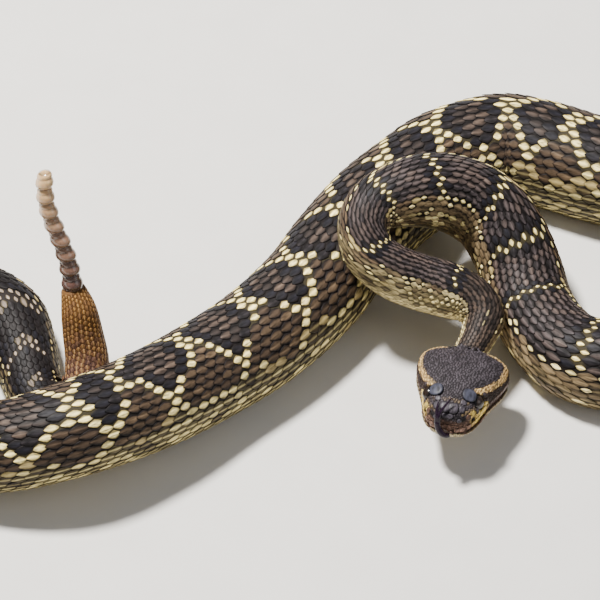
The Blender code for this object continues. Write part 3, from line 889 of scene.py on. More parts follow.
def make_skin(body, finish):
    """The rings of body and head as one closed mesh, coloured point by point."""
    body_rings, body_tint = body_skin(body)
    head, head_tint = head_skin()
    rings = np.concatenate([body_rings[:-1], from_head(head)[1:]])
    tints = np.concatenate([body_tint[:-1], head_tint[1:]])
    rings[..., 2] = np.maximum(rings[..., 2], SKIN_CLEARANCE)
    count, sides = rings.shape[:2]
    ends = [rings[0].mean(0), from_head([SNOUT_TIP])[0] - HEAD_AXES[1] * HEAD_COAT_DEPTH]
    points = np.concatenate([rings.reshape(-1, 3), ends])
    tint = np.concatenate([tints.reshape(-1, 3), [tints[0, 0], tints[-1, 0]]])
    i = np.arange(count - 1)[:, None] * sides
    j = np.arange(sides)[None, :]
    k = (j + 1) % sides
    quads = np.stack([i + j, i + k, i + sides + k, i + sides + j], axis=-1).reshape(-1, 4)
    faces = quads.tolist()
    last = (count - 1) * sides
    for n in range(sides):
        m = (n + 1) % sides
        faces.append((len(points) - 2, m, n))
        faces.append((len(points) - 1, last + n, last + m))
    mesh = new_mesh("skin", points.tolist(), faces)
    write_colours(mesh, "tint", tint)
    outward(mesh)
    return add_piece("skin", mesh, finish, [*LENGTHS, "head"])


# The scales: one master plate of each kind, laid on points by Geometry Nodes.

BODY_SCALE_STATIONS = (-0.80, -0.42, 0.0, 0.42, 0.80)
BODY_SCALE_COLUMNS = (-1.0, -0.84, -0.42, -0.07, 0.07, 0.42, 0.84, 1.0)
BODY_KEEL_RISE = 0.75
GRANULE_STATIONS = (-0.55, 0.0, 0.55)
GRANULE_COLUMNS = (-1.0, -0.7, 0.0, 0.7, 1.0)
GRANULE_KEEL_RISE = 0.30
SCALE_POINT = 1.35  # powers of the outline: how sharp its two ends are, and how full its sides
SCALE_FULLNESS = 0.78
PLATE_DOME = (0.30, 0.70)  # height across it: gain to the keel, and at its sides
PLATE_LIFT = (0.50, 0.50)  # height along it: gain to the rear, and at the front
KEEL_HALF = 0.2
EDGE_DROP = 0.45
# Painted shade: the rim's colour spreads from the keel out to each scale's sides and over its front end,
# where it goes under the scale before it, besides its true dark edge.
RIM_COLUMNS = [0.1, 0.42, 0.84]  # the rim's colour across the plate, from the keel out
RIM_SHARES = [0.0, 0.15, 1.0]
RIM_AT_FRONT = 0.6
# Painted highlight, partly the flank scales' own pale edge: the raised rear tip takes the keel's paler
# colour.
PALE_REAR = 0.8
END_REACH = 0.6  # both show so far out, and farther


def keeled_scale(name, stations, columns, keel_rise):
    """A pointed, keeled plate two units long and two wide, closed underneath."""
    points, relief = [], []

    def add(x, v, half, edge):
        dome = linear(1 - v * v, *PLATE_DOME)
        lift = linear((x + 1) / 2, *PLATE_LIFT)
        on_keel = abs(v) < KEEL_HALF
        keel = keel_rise * on_keel * (1 - x * x)
        points.append((x, v * half, dome * lift * (EDGE_DROP if edge else 1.0) + keel))
        near_rear = PALE_REAR if not edge and x > END_REACH and abs(v) < END_REACH else 0.0
        near_front = RIM_AT_FRONT if x < -END_REACH else 0.0
        near_edge = max(np.interp(abs(v), RIM_COLUMNS, RIM_SHARES), near_front)
        relief.append((float(on_keel and not edge), 1.0 if edge else near_edge, near_rear))
        return len(points) - 1

    front = add(-1.0, 0.0, 0.0, True)
    rear = add(1.0, 0.0, 0.0, True)
    grid = []
    for x in stations:
        half = (1 - abs(x) ** SCALE_POINT) ** SCALE_FULLNESS
        grid.append([add(x, v, half, abs(v) == 1.0) for v in columns])
    faces = []
    for one, two in zip(grid, grid[1:]):
        for k in range(len(columns) - 1):
            faces.append((one[k], two[k], two[k + 1], one[k + 1]))
    for k in range(len(columns) - 1):
        faces.append((front, grid[0][k], grid[0][k + 1]))
        faces.append((rear, grid[-1][k + 1], grid[-1][k]))
    outline = [front] + [row[0] for row in grid] + [rear] + [row[-1] for row in grid[::-1]]
    return closed_plate(name, points, relief, faces, outline)


SHIELD_SIDES = 14
SHIELD_SQUARENESS = 2.5
# The shield's rings from the middle out: reach, height, and share of the rim's colour.
SHIELD_RINGS = ((0.0, 1.0, 0.0), (0.55, 0.95, 0.0), (0.86, 0.78, 0.15), (1.0, 0.35, 1.0))


def smooth_plate():
    """A flat, rounded plate two units long and two wide, for the head's larger shields."""
    sides = SHIELD_SIDES
    points, relief, rings = [], [], []
    for reach, height, edge in SHIELD_RINGS:
        ring = []
        for k in range(sides if reach else 1):
            turn = 2 * math.pi * k / sides
            c, s = math.cos(turn), math.sin(turn)
            bulk = abs(c) ** SHIELD_SQUARENESS + abs(s) ** SHIELD_SQUARENESS
            square = bulk ** (-1 / SHIELD_SQUARENESS)
            ring.append(len(points))
            points.append((reach * c * square, reach * s * square, height))
            relief.append((0.0, edge, 0.0))
        rings.append(ring)
    faces = [(rings[0][0], rings[1][k], rings[1][(k + 1) % sides]) for k in range(sides)]
    for inner, outer in zip(rings[1:], rings[2:]):
        for k in range(sides):
            m = (k + 1) % sides
            faces.append((inner[k], outer[k], outer[m], inner[m]))
    return closed_plate("smooth_plate", points, relief, faces, rings[-1])


SKIRT = (0.94, 0.90, -0.8)  # its length and width against the outline's, and its height


def closed_plate(name, points, relief, faces, outline):
    """Adds the skirt and the underside below the outline, and records each point's local place."""
    top = len(points)
    for index in outline:
        x, y, _ = points[index]
        points.append((x * SKIRT[0], y * SKIRT[1], SKIRT[2]))
        relief.append((0.0, 1.0, 0.0))
    count = len(outline)
    for k in range(count):
        m = (k + 1) % count
        faces.append((outline[k], outline[m], top + m, top + k))
    faces.append([top + k for k in range(count)])
    mesh = new_mesh(name, points, faces)
    outward(mesh)
    mesh.shade_smooth()
    write_colours(mesh, "relief", np.array(relief))
    write_vectors(mesh, "spot", [(x, y, 0.0) for x, y, _ in points])
    return new_object(name, mesh)


def scale_tree():
    """Lays a plate on each point, turned and sized by the point, and writes its patch of the unwrap."""
    tree = bpy.data.node_groups.new("lay_scales", "GeometryNodeTree")
    for name, kind in (
        ("Points", "NodeSocketGeometry"),
        ("Plate", "NodeSocketObject"),
        ("Patch size", "NodeSocketFloat"),
        ("Finish", "NodeSocketMaterial"),
    ):
        tree.interface.new_socket(name=name, in_out="INPUT", socket_type=kind)
    tree.interface.new_socket(name="Scales", in_out="OUTPUT", socket_type="NodeSocketGeometry")
    nodes, links = tree.nodes, tree.links
    given = nodes.new("NodeGroupInput")
    plate = nodes.new("GeometryNodeObjectInfo")
    lay = nodes.new("GeometryNodeInstanceOnPoints")
    real = nodes.new("GeometryNodeRealizeInstances")
    store = nodes.new("GeometryNodeStoreNamedAttribute")
    paint = nodes.new("GeometryNodeSetMaterial")
    result = nodes.new("NodeGroupOutput")
    halve = nodes.new("ShaderNodeMath")
    grow = nodes.new("ShaderNodeVectorMath")
    shift = nodes.new("ShaderNodeVectorMath")
    halve.operation = "MULTIPLY"
    halve.inputs[1].default_value = 0.5
    grow.operation = "SCALE"
    shift.operation = "ADD"
    store.data_type = "FLOAT2"
    store.domain = "CORNER"
    store.inputs["Name"].default_value = "OFBake"

    def named(name, kind):
        node = nodes.new("GeometryNodeInputNamedAttribute")
        node.data_type = kind
        node.inputs["Name"].default_value = name
        return node.outputs["Attribute"]

    links.new(given.outputs["Points"], lay.inputs["Points"])
    links.new(given.outputs["Plate"], plate.inputs["Object"])
    links.new(plate.outputs["Geometry"], lay.inputs["Instance"])
    links.new(named("turn", "QUATERNION"), lay.inputs["Rotation"])
    links.new(named("size", "FLOAT_VECTOR"), lay.inputs["Scale"])
    links.new(lay.outputs["Instances"], real.inputs["Geometry"])
    links.new(given.outputs["Patch size"], halve.inputs[0])
    links.new(named("spot", "FLOAT_VECTOR"), grow.inputs[0])
    links.new(halve.outputs[0], grow.inputs["Scale"])
    links.new(named("root", "FLOAT_VECTOR"), shift.inputs[0])
    links.new(grow.outputs[0], shift.inputs[1])
    links.new(real.outputs["Geometry"], store.inputs["Geometry"])
    links.new(shift.outputs[0], store.inputs["Value"])
    links.new(store.outputs["Geometry"], paint.inputs["Geometry"])
    links.new(given.outputs["Finish"], paint.inputs["Material"])
    links.new(paint.outputs["Geometry"], result.inputs["Scales"])
    return tree


def quaternions(along, across, out):
    """One turn per point that takes x, y and z to the three directions."""
    turns = []
    for x, y, z in zip(along, across, out):
        turns.append(Matrix((x, y, z)).transposed().to_quaternion())
    return np.array([(q.w, q.x, q.y, q.z) for q in turns], np.float32)


def lay_scales(name, tree, plate, finish, spots):
    """One mesh of scales from the spots' places, directions, sizes, roots and colours."""
    mesh = new_mesh(name, spots["place"].tolist())
    turn = mesh.attributes.new("turn", "QUATERNION", "POINT")
    turn.data.foreach_set("value", quaternions(spots["along"], spots["across"], spots["out"]).ravel())
    for field in ("size", "root"):
        write_vectors(mesh, field, spots[field])
    for field in ("tint", "rim", "keel"):
        write_colours(mesh, field, spots[field])
    source = new_object(name + "_points", mesh)
    modifier = source.modifiers.new("scales", "NODES")
    modifier.node_group = tree
    sockets = {item.name: item.identifier for item in tree.interface.items_tree if item.in_out == "INPUT"}
    modifier[sockets["Plate"]] = plate
    modifier[sockets["Patch size"]] = PATCH
    modifier[sockets["Finish"]] = finish
    source.update_tag()
    laid = evaluated_mesh(source)
    bpy.data.objects.remove(source, do_unlink=True)
    for extra in ("turn", "size", "root"):
        if extra in laid.attributes:
            laid.attributes.remove(laid.attributes[extra])
    return add_piece(name, laid, finish)


ROW_ARC = 0.97  # a row's mean distance from the body's centre line, against its half width
FULL_RISE_WIDTH = 34 * MM  # scales are flatter where the body is narrower than this
# The pale scales are smaller, so that dark skin rings them: how much shorter, narrower and higher,
# on the banded stretches and on the rest.
PALE_SHORTER = (0.50, 0.30)
PALE_NARROWER = (0.38, 0.16)
PALE_HIGHER = 0.3
PALE_TINTS = (0.25, 0.45)  # mean tints from which and at which a scale counts as pale
PALE_ROWS = 9
REAR_DULLER = 0.62
TAIL_SHORTER = 0.18


def body_rows(body, start, end):
    """Distance, angle and number of rows for each scale of one stretch, row by row."""
    found = []
    for (first, rows), (last, _) in zip(ROW_STRETCHES, [*ROW_STRETCHES[1:], (math.inf, 0)]):
        low, high = max(start, first * MM), min(end, last * MM, body.length - LAST_SCALE_GAP)
        if high <= low:
            continue
        half_rows = (rows - 1) // 2
        for row in range(-half_rows, half_rows + 1):
            offset = 0.5 * (row % 2)
            lowest, highest = (
                math.ceil(np.interp(place, body.fine_s, body.count) - offset) for place in (low, high)
            )
            s = np.interp(np.arange(lowest, highest) + offset, body.count, body.fine_s)
            found.append((s, np.full(len(s), ROW_REACH * row / half_rows), np.full(len(s), rows)))
    return (np.concatenate(columns) for columns in zip(*found))


def body_spots(body, start, end, random):
    """Where the scales of one stretch of the body lie, with their sizes and colours."""
    s, angle, rows = body_rows(body, start, end)
    width = body.width(s)
    pitch = body.scale_pitch(s)
    depth = body.coat_depth(s)
    chance = random.random(len(s))
    angle = angle + random.normal(0, ANGLE_JITTER, len(s))
    s = s + random.normal(0, PLACE_JITTER, len(s)) * pitch
    place, along, across, out, stretch = body.lay(s, angle)
    row_gap = width / 2 * ROW_ARC * 2 * ROW_REACH / (rows - 1)
    rise = SCALE_RISE * np.clip(width / FULL_RISE_WIDTH, 0.5, 1.0) * random.uniform(0.9, 1.1, len(s))
    size = np.stack([
        0.5 * SCALE_LENGTH_LAP * pitch * np.clip(stretch, 0.3, 1.6),
        0.5 * SCALE_WIDTH_LAP * row_gap * random.uniform(0.95, 1.05, len(s)),
        rise,
    ], axis=1)
    along_up = unit(along + out * SCALE_TILT)
    place_mm = s / MM
    tint, rim, keel = body_colours(body, place_mm, OUTER_ROW * angle / ROW_REACH, chance)
    dull = 1 - REAR_DULLER * rear_share(place_mm)
    bright = ramp(tint.mean(axis=1) / dull, *PALE_TINTS)
    bright = bright * (np.abs(angle) < ROW_REACH * PALE_ROWS / OUTER_ROW)
    banded = (s < FORE_END * MM) | (s > REAR_START * MM)
    shorter = 1 - np.where(banded, *PALE_SHORTER) * bright
    size[:, 0] *= shorter * (1 - TAIL_SHORTER * ramp(place_mm, TAIL_START - 30, TAIL_START))
    size[:, 1] *= 1 - np.where(banded, *PALE_NARROWER) * bright
    size[:, 2] *= 1 + PALE_HIGHER * bright
    unwrap = (unwrap_along(s / body.length), 0.5 + angle / (2 * math.pi), np.zeros(len(s)))
    return {
        "place": place - out * depth[:, None],
        "along": along_up, "across": across, "out": np.cross(along_up, across),
        "size": size, "root": np.stack(unwrap, axis=1), "tint": tint, "rim": rim, "keel": keel,
    }


SCUTE_STEPS = 12
SCUTE_ARC = 2 * math.pi - 2 * (ROW_REACH + 0.5 * ROW_REACH / OUTER_ROW)
# A scute's rings, front to rear and back underneath: place against its pitch, and height in millimetres.
SCUTE_RINGS = ((-0.10, 0.02), (0.45, 0.26), (1.02, 0.36), (1.12, 0.24), (1.05, -0.3), (-0.05, -0.3))
SCUTE_SINK = 0.42  # millimetres into the solids
SCUTE_CLEARANCE = 0.02 * MM  # least height over the floor
UNDERSIDE_ARC = 0.97
SCUTE_UNWRAP_ROW = 0.0015


def make_scutes(body, finish):
    """The broad plates across the belly, each lapping over the next."""
    random = np.random.default_rng(SEED + 5)
    count = int(np.interp(body.length, body.fine_s, body.count))
    points, faces, tints, roots = [], [], [], []
    turn = np.linspace(-SCUTE_ARC / 2, SCUTE_ARC / 2, SCUTE_STEPS + 1)
    side = np.abs(turn) / (SCUTE_ARC / 2)
    row = len(turn)
    rings = len(SCUTE_RINGS)
    for n in range(1, count - 1):
        begin = np.interp(n, body.count, body.fine_s)
        pitch = body.scale_pitch(begin)
        shade = random.random()
        tail = ramp(begin / MM, TAIL_START - 20, TAIL_START + 10)
        base = len(points)
        for share, lift in SCUTE_RINGS:
            s = np.full(row, begin + share * pitch)
            place, _, _, out, _ = body.lay(s, math.pi + turn * (1.0 if lift > 0 else UNDERSIDE_ARC))
            ring = place + out * ((lift - SCUTE_SINK) * MM)
            ring[:, 2] = np.maximum(ring[:, 2], SCUTE_CLEARANCE)
            points.extend(ring.tolist())
            colour = blend(BELLY, BELLY_GREY, 0.5 * side**3 + 0.5 * shade * (share > 0.9))
            colour = blend(colour, TAIL_ORANGE, np.full(row, tail))
            tints.extend((colour * (0.85 + 0.25 * shade)).tolist())
            u = unwrap_along(begin / body.length) + PATCH * (share - 0.5)
            roots.extend([(u, SCUTE_UNWRAP_ROW + PATCH * t / SCUTE_ARC) for t in turn])
        for r in range(rings):
            q = (r + 1) % rings
            for k in range(SCUTE_STEPS):
                a, b = base + r * row + k, base + q * row + k
                faces.append((a, a + 1, b + 1, b))
        for k in (0, SCUTE_STEPS):
            faces.append([base + r * row + k for r in range(rings)])
    mesh = new_mesh("belly_scutes", points, faces)
    write_colours(mesh, "tint", tints)
    unwrap = mesh.uv_layers.new(name="OFBake")
    corner = np.zeros(len(mesh.loops), np.int32)
    mesh.loops.foreach_get("vertex_index", corner)
    unwrap.data.foreach_set("uv", np.array(roots, np.float32)[corner].ravel())
    outward(mesh)
    return add_piece("belly_scutes", mesh, finish)


class Head:
    """The head's surface as a fine grid, for placing its scales and plates."""

    def __init__(self):
        self.grid = head_sections()
        self.out = -grid_out(self.grid)
        self.run = run_length(self.grid[:, SKIN_SIDES // 8])
        self.run /= self.run[-1]

    def spots(self, places, forward=None):
        """The nearest points of the surface, and the directions there, for places in the head's frame."""
        flat = self.grid.reshape(-1, 3)
        index = np.array([np.argmin(((flat - p) ** 2).sum(1)) for p in places])
        ring, side = np.divmod(index, SKIN_SIDES)
        out = self.out.reshape(-1, 3)[index]
        back = np.array([(0.0, -1.0, 0.0)]) if forward is None else np.asarray(forward, float)
        along = unit(back - out * (back * out).sum(1, keepdims=True))
        unwrap = (unwrap_along(self.run[ring]), (side + 0.5) / SKIN_SIDES, np.zeros(len(index)))
        return flat[index], along, np.cross(out, along), out, np.stack(unwrap, axis=1)

    def scatter(self, count, random):
        """Random places all over the surface, as many on each part as its area asks."""
        front, back = self.grid[1:], self.grid[:-1]
        patch = np.linalg.norm(np.cross(front - back, np.roll(back, -1, 1) - back), axis=-1)
        picks = random.choice(patch.size, count, p=patch.ravel() / patch.sum())
        ring, side = np.divmod(picks, SKIN_SIDES)
        beside = (side + 1) % SKIN_SIDES
        u, v = random.random((2, count, 1))
        near = back[ring, side] * (1 - u) + front[ring, side] * u
        return near * (1 - v) + (back[ring, beside] * (1 - u) + front[ring, beside] * u) * v


GRANULE_TRIES = 36000
LIP_CLEARANCE = 2.3  # no granules so near the mouth's line, behind the lips' own scales
# No granules round the eye, the nostril and the pit: centre and radius.
BARE_RINGS = ((EYE_CENTRE, EYE_RADIUS + 1.0), (NOSTRIL_CENTRE, 1.9), (PIT_CENTRE, 2.0))
SHIELD_DEPTH = 4.0
# Least distance between granules, against the distance from the nape.
GRANULE_GAPS = [(0, 0.95), (8, 1.0), (20, 0.92), (30, 0.88), (41, 0.88)]
CHIN_GAP = 1.35  # and how much wider it is under the jaw
GRANULE_SIZE = (0.80, 0.62, 0.19)  # half length, half width and rise, against the gap
GRANULE_JITTER = 0.12
GRANULE_TILT = 0.10
GRANULE_SINK = 0.38


def clear_places(places, gaps):
    """Of places in their order, those that keep their gap to all kept before them, and their gaps."""
    chosen = np.empty((0, 3))
    kept_gaps = []
    for place, gap in zip(places, gaps):
        if len(chosen) and (((chosen - place) ** 2).sum(1) < gap * gap).any():
            continue
        chosen = np.vstack([chosen, place])
        kept_gaps.append(gap)
    return chosen, np.array(kept_gaps)


def head_granules(head, random):
    """Small keeled scales over crown, lobes and chin, spread by keeping each clear of the others."""
    places = head.scatter(GRANULE_TRIES, random)
    folded = np.column_stack([np.abs(places[:, 0]), places[:, 1:]])
    y, z = places[:, 1], places[:, 2]
    mouth = np.interp(y, *np.array(HEAD_STATIONS)[:, (0, 4)].T)
    keep = ~((y > MOUTH_CORNER - 1) & (np.abs(z - mouth) < LIP_CLEARANCE))
    for middle, radius in BARE_RINGS:
        keep &= np.linalg.norm(folded - middle, axis=1) > radius
    for _, middle, (half_length, half_width, _), _ in HEAD_SHIELDS:
        inside = np.abs(folded - np.abs(middle)) / (half_width, half_length, SHIELD_DEPTH)
        keep &= ~((inside**SHIELD_SQUARENESS).sum(1) < 1.0)
    gap = along_table(y, GRANULE_GAPS)
    gap = np.where(z < mouth - 2.0, gap * CHIN_GAP, gap)
    chosen, gaps = clear_places(places[keep], gap[keep])
    count = len(chosen)
    chance = random.random(count)
    _, along, across, out, root = head.spots(chosen)
    along = unit(along + across * random.normal(0, GRANULE_JITTER, count)[:, None])
    across = np.cross(out, along)
    tilted = unit(along + out * GRANULE_TILT)
    length, breadth, rise = GRANULE_SIZE
    size = np.stack([length * gaps, breadth * gaps, rise * np.ones(count)], 1)
    size = size * random.uniform(0.92, 1.08, (count, 1))
    colours = head_colours(chosen, chance)
    turned = (tilted, across, np.cross(tilted, across))
    return to_world_spots(chosen - out * GRANULE_SINK, turned, size, root, colours)


def to_world_spots(place, axes, size, root, colours):
    """Spots of the head's frame, in millimetres, as spots of the world."""
    spots = {"place": from_head(place), "size": size * MM, "root": root}
    spots.update(zip(("along", "across", "out"), (axis @ HEAD_AXES for axis in axes)))
    spots.update(zip(("tint", "rim", "keel"), colours))
    return spots


# Large shields of the head, each with its centre, half length, half width and height, and colour.
BROW_BLUE = srgb(52, 53, 64)
NASAL_GREY = srgb(56, 52, 58)
HEAD_SHIELDS = [
    ("brow", (6.6, 30.3, 9.9), (2.9, 3.0, 0.6), BROW_BLUE),
    ("internasal", (2.2, 37.6, 8.0), (2.4, 2.2, 0.7), NASAL_GREY),
    ("internasal_front", (1.3, 40.2, 5.6), (1.1, 1.3, 0.5), NASAL_GREY),
    ("canthal", (5.7, 37.2, 7.7), (1.6, 1.2, 0.5), NASAL_GREY),
    ("canthal_rear", (5.6, 34.4, 9.0), (1.2, 1.3, 0.45), NASAL_GREY),
    ("prenasal", (4.9, 40.4, 4.0), (0.9, 1.0, 0.45), NASAL_GREY),
    ("postnasal", (8.9, 38.1, 4.2), (1.2, 1.4, 0.42), LIP * 0.42),
    ("loreal", (10.2, 35.6, 4.9), (1.2, 1.1, 0.42), YELLOW * 0.55),
    ("rostral", (0.0, 41.4, 0.2), (2.0, 1.9, 0.5), LIP * 0.55),
]

# The scales round each eye, and the rows along both lips.
EYE_RING_TURNS = np.radians(np.arange(-205, 26, 21))
EYE_RING_RADIUS = 4.2
EYE_RING_OUT = 3.0
EYE_SCALE_SIZE = (0.95, 0.80, 0.42)  # half length, half width and rise
UNDER_EYE = -0.45  # the scales below it are yellow
LIP_COUNT = 15
LIP_END = 40.2
LIP_OFF_MOUTH = 1.62  # the rows' distance from the mouth's line
LIP_OFF_SIDE = 0.99  # and their place across, against the head's half width
UPPER_LIP_HEIGHT = 2.55
LOWER_LIP_HEIGHT = 2.3
LIP_LAP = 0.22
LIP_HALF_WIDTH = 1.12
LIP_RISE = 0.46
FRONT_LIPS = [(5.6, 41.0), (4.2, 42.0), (2.6, 42.6)]  # the foremost scales: right and forward
FRONT_LIP_OFF_MOUTH = 1.6
FRONT_LIP_SIZE = (1.3, 0.95, 0.42)
LOWER_YELLOW_END = 33.0
SHIELD_LIFTS = {"brow": 0.35}
SHIELD_SINK = 0.42


def lip_colour(middle, sign, chance):
    """The head's own colour there, yellower under the eye, and paler on the lower lip."""
    colour = head_colours(np.array([middle]), np.array([chance]))[0]
    start, end = YELLOW_REACH
    if sign < 0:
        return blend(colour, CHIN * 0.75, [0.45 * (middle[1] < start or middle[1] > LOWER_YELLOW_END)])[0]
    if start <= middle[1] <= end:
        return YELLOW * (0.8 + 0.35 * chance)
    return blend(colour, LIP, [0.5 if middle[1] > end else 0.15])[0]


def head_shields(head, random):
    """The named shields on both sides, the scales round each eye, and the rows along both lips."""
    placed = []

    def add(place, size, colour, back=(0.0, -1.0, 0.0), lift=0.0):
        for side in (1, -1) if abs(place[0]) > 0.5 else (1,):
            place_here, back_here = ((at[0] * side, at[1], at[2]) for at in (place, back))
            placed.append((place_here, size, colour, back_here, [lift]))

    for name, centre, size, colour in HEAD_SHIELDS:
        back = (0.0, -0.2, -1.0) if name in ("rostral", "prenasal") else (-0.15, -1.0, 0.0)
        add(centre, size, colour, back, SHIELD_LIFTS.get(name, 0.0))
    for turn in EYE_RING_TURNS:
        radial = np.array((0.0, math.cos(turn), math.sin(turn)))
        middle = np.array(EYE_CENTRE) + (EYE_RING_OUT, 0.0, 0.0) + radial * EYE_RING_RADIUS
        if radial[2] < UNDER_EYE:
            colour = YELLOW * random.uniform(0.7, 1.05)
        else:
            colour = blend(CROWN * 0.9, CHEEK, [random.random()])[0]
        add(middle, EYE_SCALE_SIZE, colour, radial)
    stations = np.array(HEAD_STATIONS)
    for sign, height in ((1, UPPER_LIP_HEIGHT), (-1, LOWER_LIP_HEIGHT)):
        for place in np.linspace(MOUTH_CORNER + 0.5, LIP_END, LIP_COUNT):
            half, mouth = (np.interp(place, stations[:, 0], stations[:, k]) for k in (1, 4))
            middle = (half * LIP_OFF_SIDE, place, mouth + sign * LIP_OFF_MOUTH)
            colour = lip_colour(middle, sign, random.random())
            size = (height / 2 + LIP_LAP, LIP_HALF_WIDTH, LIP_RISE)
            add(middle, size, colour, (0.0, 0.0, float(sign)))
    for sign, tint in ((1, LIP * 0.8), (-1, CHIN * 0.6)):
        for x, y in FRONT_LIPS:
            middle = (x, y, stations[-1, 4] + sign * FRONT_LIP_OFF_MOUTH)
            add(middle, FRONT_LIP_SIZE, tint, (0.0, 0.0, float(sign)))
    places, size, tint, backs, lift = (np.array(column) for column in zip(*placed))
    spot, along, across, out, root = head.spots(places, backs)
    tone = random.uniform(0.9, 1.1, (len(tint), 1))
    # The shields' darker rims are partly painted shade at their edges.
    colours = (tint * tone, tint * 0.45, tint)
    return to_world_spots(spot + out * (lift - SHIELD_SINK), (along, across, out), size, root, colours)


# Finishes.

def finish_nodes(name):
    made = bpy.data.materials.new(name)
    made.use_nodes = True
    nodes = made.node_tree.nodes
    return made, nodes, made.node_tree.links, nodes["Principled BSDF"]


def attribute(nodes, name):
    node = nodes.new("ShaderNodeAttribute")
    node.attribute_name = name
    return node


def mixed(nodes, links, share, first, second, kind="MIX"):
    """A colour mix of two sockets by a socket or a number."""
    node = nodes.new("ShaderNodeMix")
    node.data_type = "RGBA"
    node.blend_type = kind
    if isinstance(share, float):
        node.inputs[0].default_value = share
    else:
        links.new(share, node.inputs[0])
    links.new(first, node.inputs[6])
    links.new(second, node.inputs[7])
    return node.outputs[2]


NOISE_DETAIL = 3.0
NOISE_RANGE = (0.3, 0.7)  # noise seldom leaves it


def noise_on(nodes, links, place, scale):
    """Noise over a place, in cycles per unit of it."""
    noise = nodes.new("ShaderNodeTexNoise")
    noise.inputs["Scale"].default_value = scale
    noise.inputs["Detail"].default_value = NOISE_DETAIL
    links.new(place, noise.inputs["Vector"])
    return noise.outputs["Fac"]


def grain(nodes, links, scale):
    """Noise on the model's own coordinates, in cycles per metre."""
    return noise_on(nodes, links, nodes.new("ShaderNodeTexCoord").outputs["Object"], scale)


def toned(nodes, links, fac, low, high):
    """A value from low to high by a noise."""
    node = nodes.new("ShaderNodeMapRange")
    for name, value in zip(("From Min", "From Max", "To Min", "To Max"), (*NOISE_RANGE, low, high)):
        node.inputs[name].default_value = value
    links.new(fac, node.inputs["Value"])
    return node.outputs[0]


def shaded(nodes, links, shader, colour, fac, low, high):
    """Gives the shader a colour, made darker or paler by a noise."""
    shade = toned(nodes, links, fac, low, high)
    grey = nodes.new("ShaderNodeCombineColor")
    for channel in ("Red", "Green", "Blue"):
        links.new(shade, grey.inputs[channel])
    result = mixed(nodes, links, 1.0, colour, grey.outputs["Color"], "MULTIPLY")
    links.new(result, shader.inputs["Base Color"])


def graded(nodes, links, shader, fac, first, second):
    """Gives the shader a colour between two, by a noise."""
    node = nodes.new("ShaderNodeValToRGB")
    for element, colour in zip(node.color_ramp.elements, (first, second)):
        element.color = (*colour, 1)
    links.new(fac, node.inputs["Fac"])
    links.new(node.outputs["Color"], shader.inputs["Base Color"])


def bumped(nodes, links, shader, height, strength, depth):
    node = nodes.new("ShaderNodeBump")
    node.inputs["Strength"].default_value = strength
    node.inputs["Distance"].default_value = depth
    links.new(height, node.inputs["Height"])
    links.new(node.outputs["Normal"], shader.inputs["Normal"])


HATCH_STRETCH = (0.8, 2.0, 1.0)  # lines along and across a scale
HATCH_SHIFT = (90.0, 90.0, 90.0)
# The lines' paler and darker shades are partly the scales' fine ridges and partly painted sheen.
HATCH_SHADE = (0.3, 1.75)
HATCH_BUMP = (0.7, 0.00014)  # strength and depth
HATCH_ROUGHNESS = (0.08, -0.06)  # in the grooves and on the lines
SCALE_SPECULAR = 0.13


def lengthwise_hatch(nodes, links):
    """Fine lines along each scale, from its own place stretched, and shifted from scale to scale."""
    stretch = nodes.new("ShaderNodeVectorMath")
    stretch.operation = "MULTIPLY"
    stretch.inputs[1].default_value = HATCH_STRETCH
    links.new(attribute(nodes, "spot").outputs["Vector"], stretch.inputs[0])
    shift = nodes.new("ShaderNodeVectorMath")
    shift.operation = "MULTIPLY_ADD"
    shift.inputs[1].default_value = HATCH_SHIFT
    links.new(attribute(nodes, "tint").outputs["Vector"], shift.inputs[0])
    links.new(stretch.outputs[0], shift.inputs[2])
    return noise_on(nodes, links, shift.outputs[0], 1.0)


def scale_finish(name, roughness, keel_share):
    """Dry, slightly waxy horn: the plate's tint, a darker rim that is partly painted shade, a paler keel
    that is partly painted highlight, and fine lines that are partly painted sheen.
    """
    made, nodes, links, shader = finish_nodes(name)
    tint, rim, keel, relief = (
        attribute(nodes, field).outputs["Color"] for field in ("tint", "rim", "keel", "relief")
    )
    parts = nodes.new("ShaderNodeSeparateColor")
    links.new(relief, parts.inputs["Color"])
    ridge = nodes.new("ShaderNodeMath")
    ridge.operation = "MAXIMUM"
    links.new(parts.outputs["Red"], ridge.inputs[0])
    links.new(parts.outputs["Blue"], ridge.inputs[1])
    keel_fac = nodes.new("ShaderNodeMath")
    keel_fac.operation = "MULTIPLY"
    keel_fac.inputs[1].default_value = keel_share
    links.new(ridge.outputs[0], keel_fac.inputs[0])
    plate = mixed(nodes, links, keel_fac.outputs[0], tint, keel)
    plate = mixed(nodes, links, parts.outputs["Green"], plate, rim)
    hatch = lengthwise_hatch(nodes, links)
    shaded(nodes, links, shader, plate, hatch, *HATCH_SHADE)
    uneven = toned(nodes, links, hatch, *(roughness + change for change in HATCH_ROUGHNESS))
    links.new(uneven, shader.inputs["Roughness"])
    shader.inputs["Specular IOR Level"].default_value = SCALE_SPECULAR
    bumped(nodes, links, shader, hatch, *HATCH_BUMP)
    return made


def grained_finish(name, scale, roughness, bump, constants, shade=None, colours=None):
    """A finish with a fine grain, in cycles per metre, and a range of roughness.

    Its colour is the mesh's own tint under a range of shade, or lies between two colours. A bump
    is its strength and depth, and the constants are set on the shader's own sockets.
    """
    made, nodes, links, shader = finish_nodes(name)
    fac = grain(nodes, links, scale)
    if shade:
        shaded(nodes, links, shader, attribute(nodes, "tint").outputs["Color"], fac, *shade)
    else:
        graded(nodes, links, shader, fac, *colours)
    links.new(toned(nodes, links, fac, *roughness), shader.inputs["Roughness"])
    if bump:
        bumped(nodes, links, shader, fac, *bump)
    for socket, value in constants.items():
        shader.inputs[socket].default_value = value
    return made


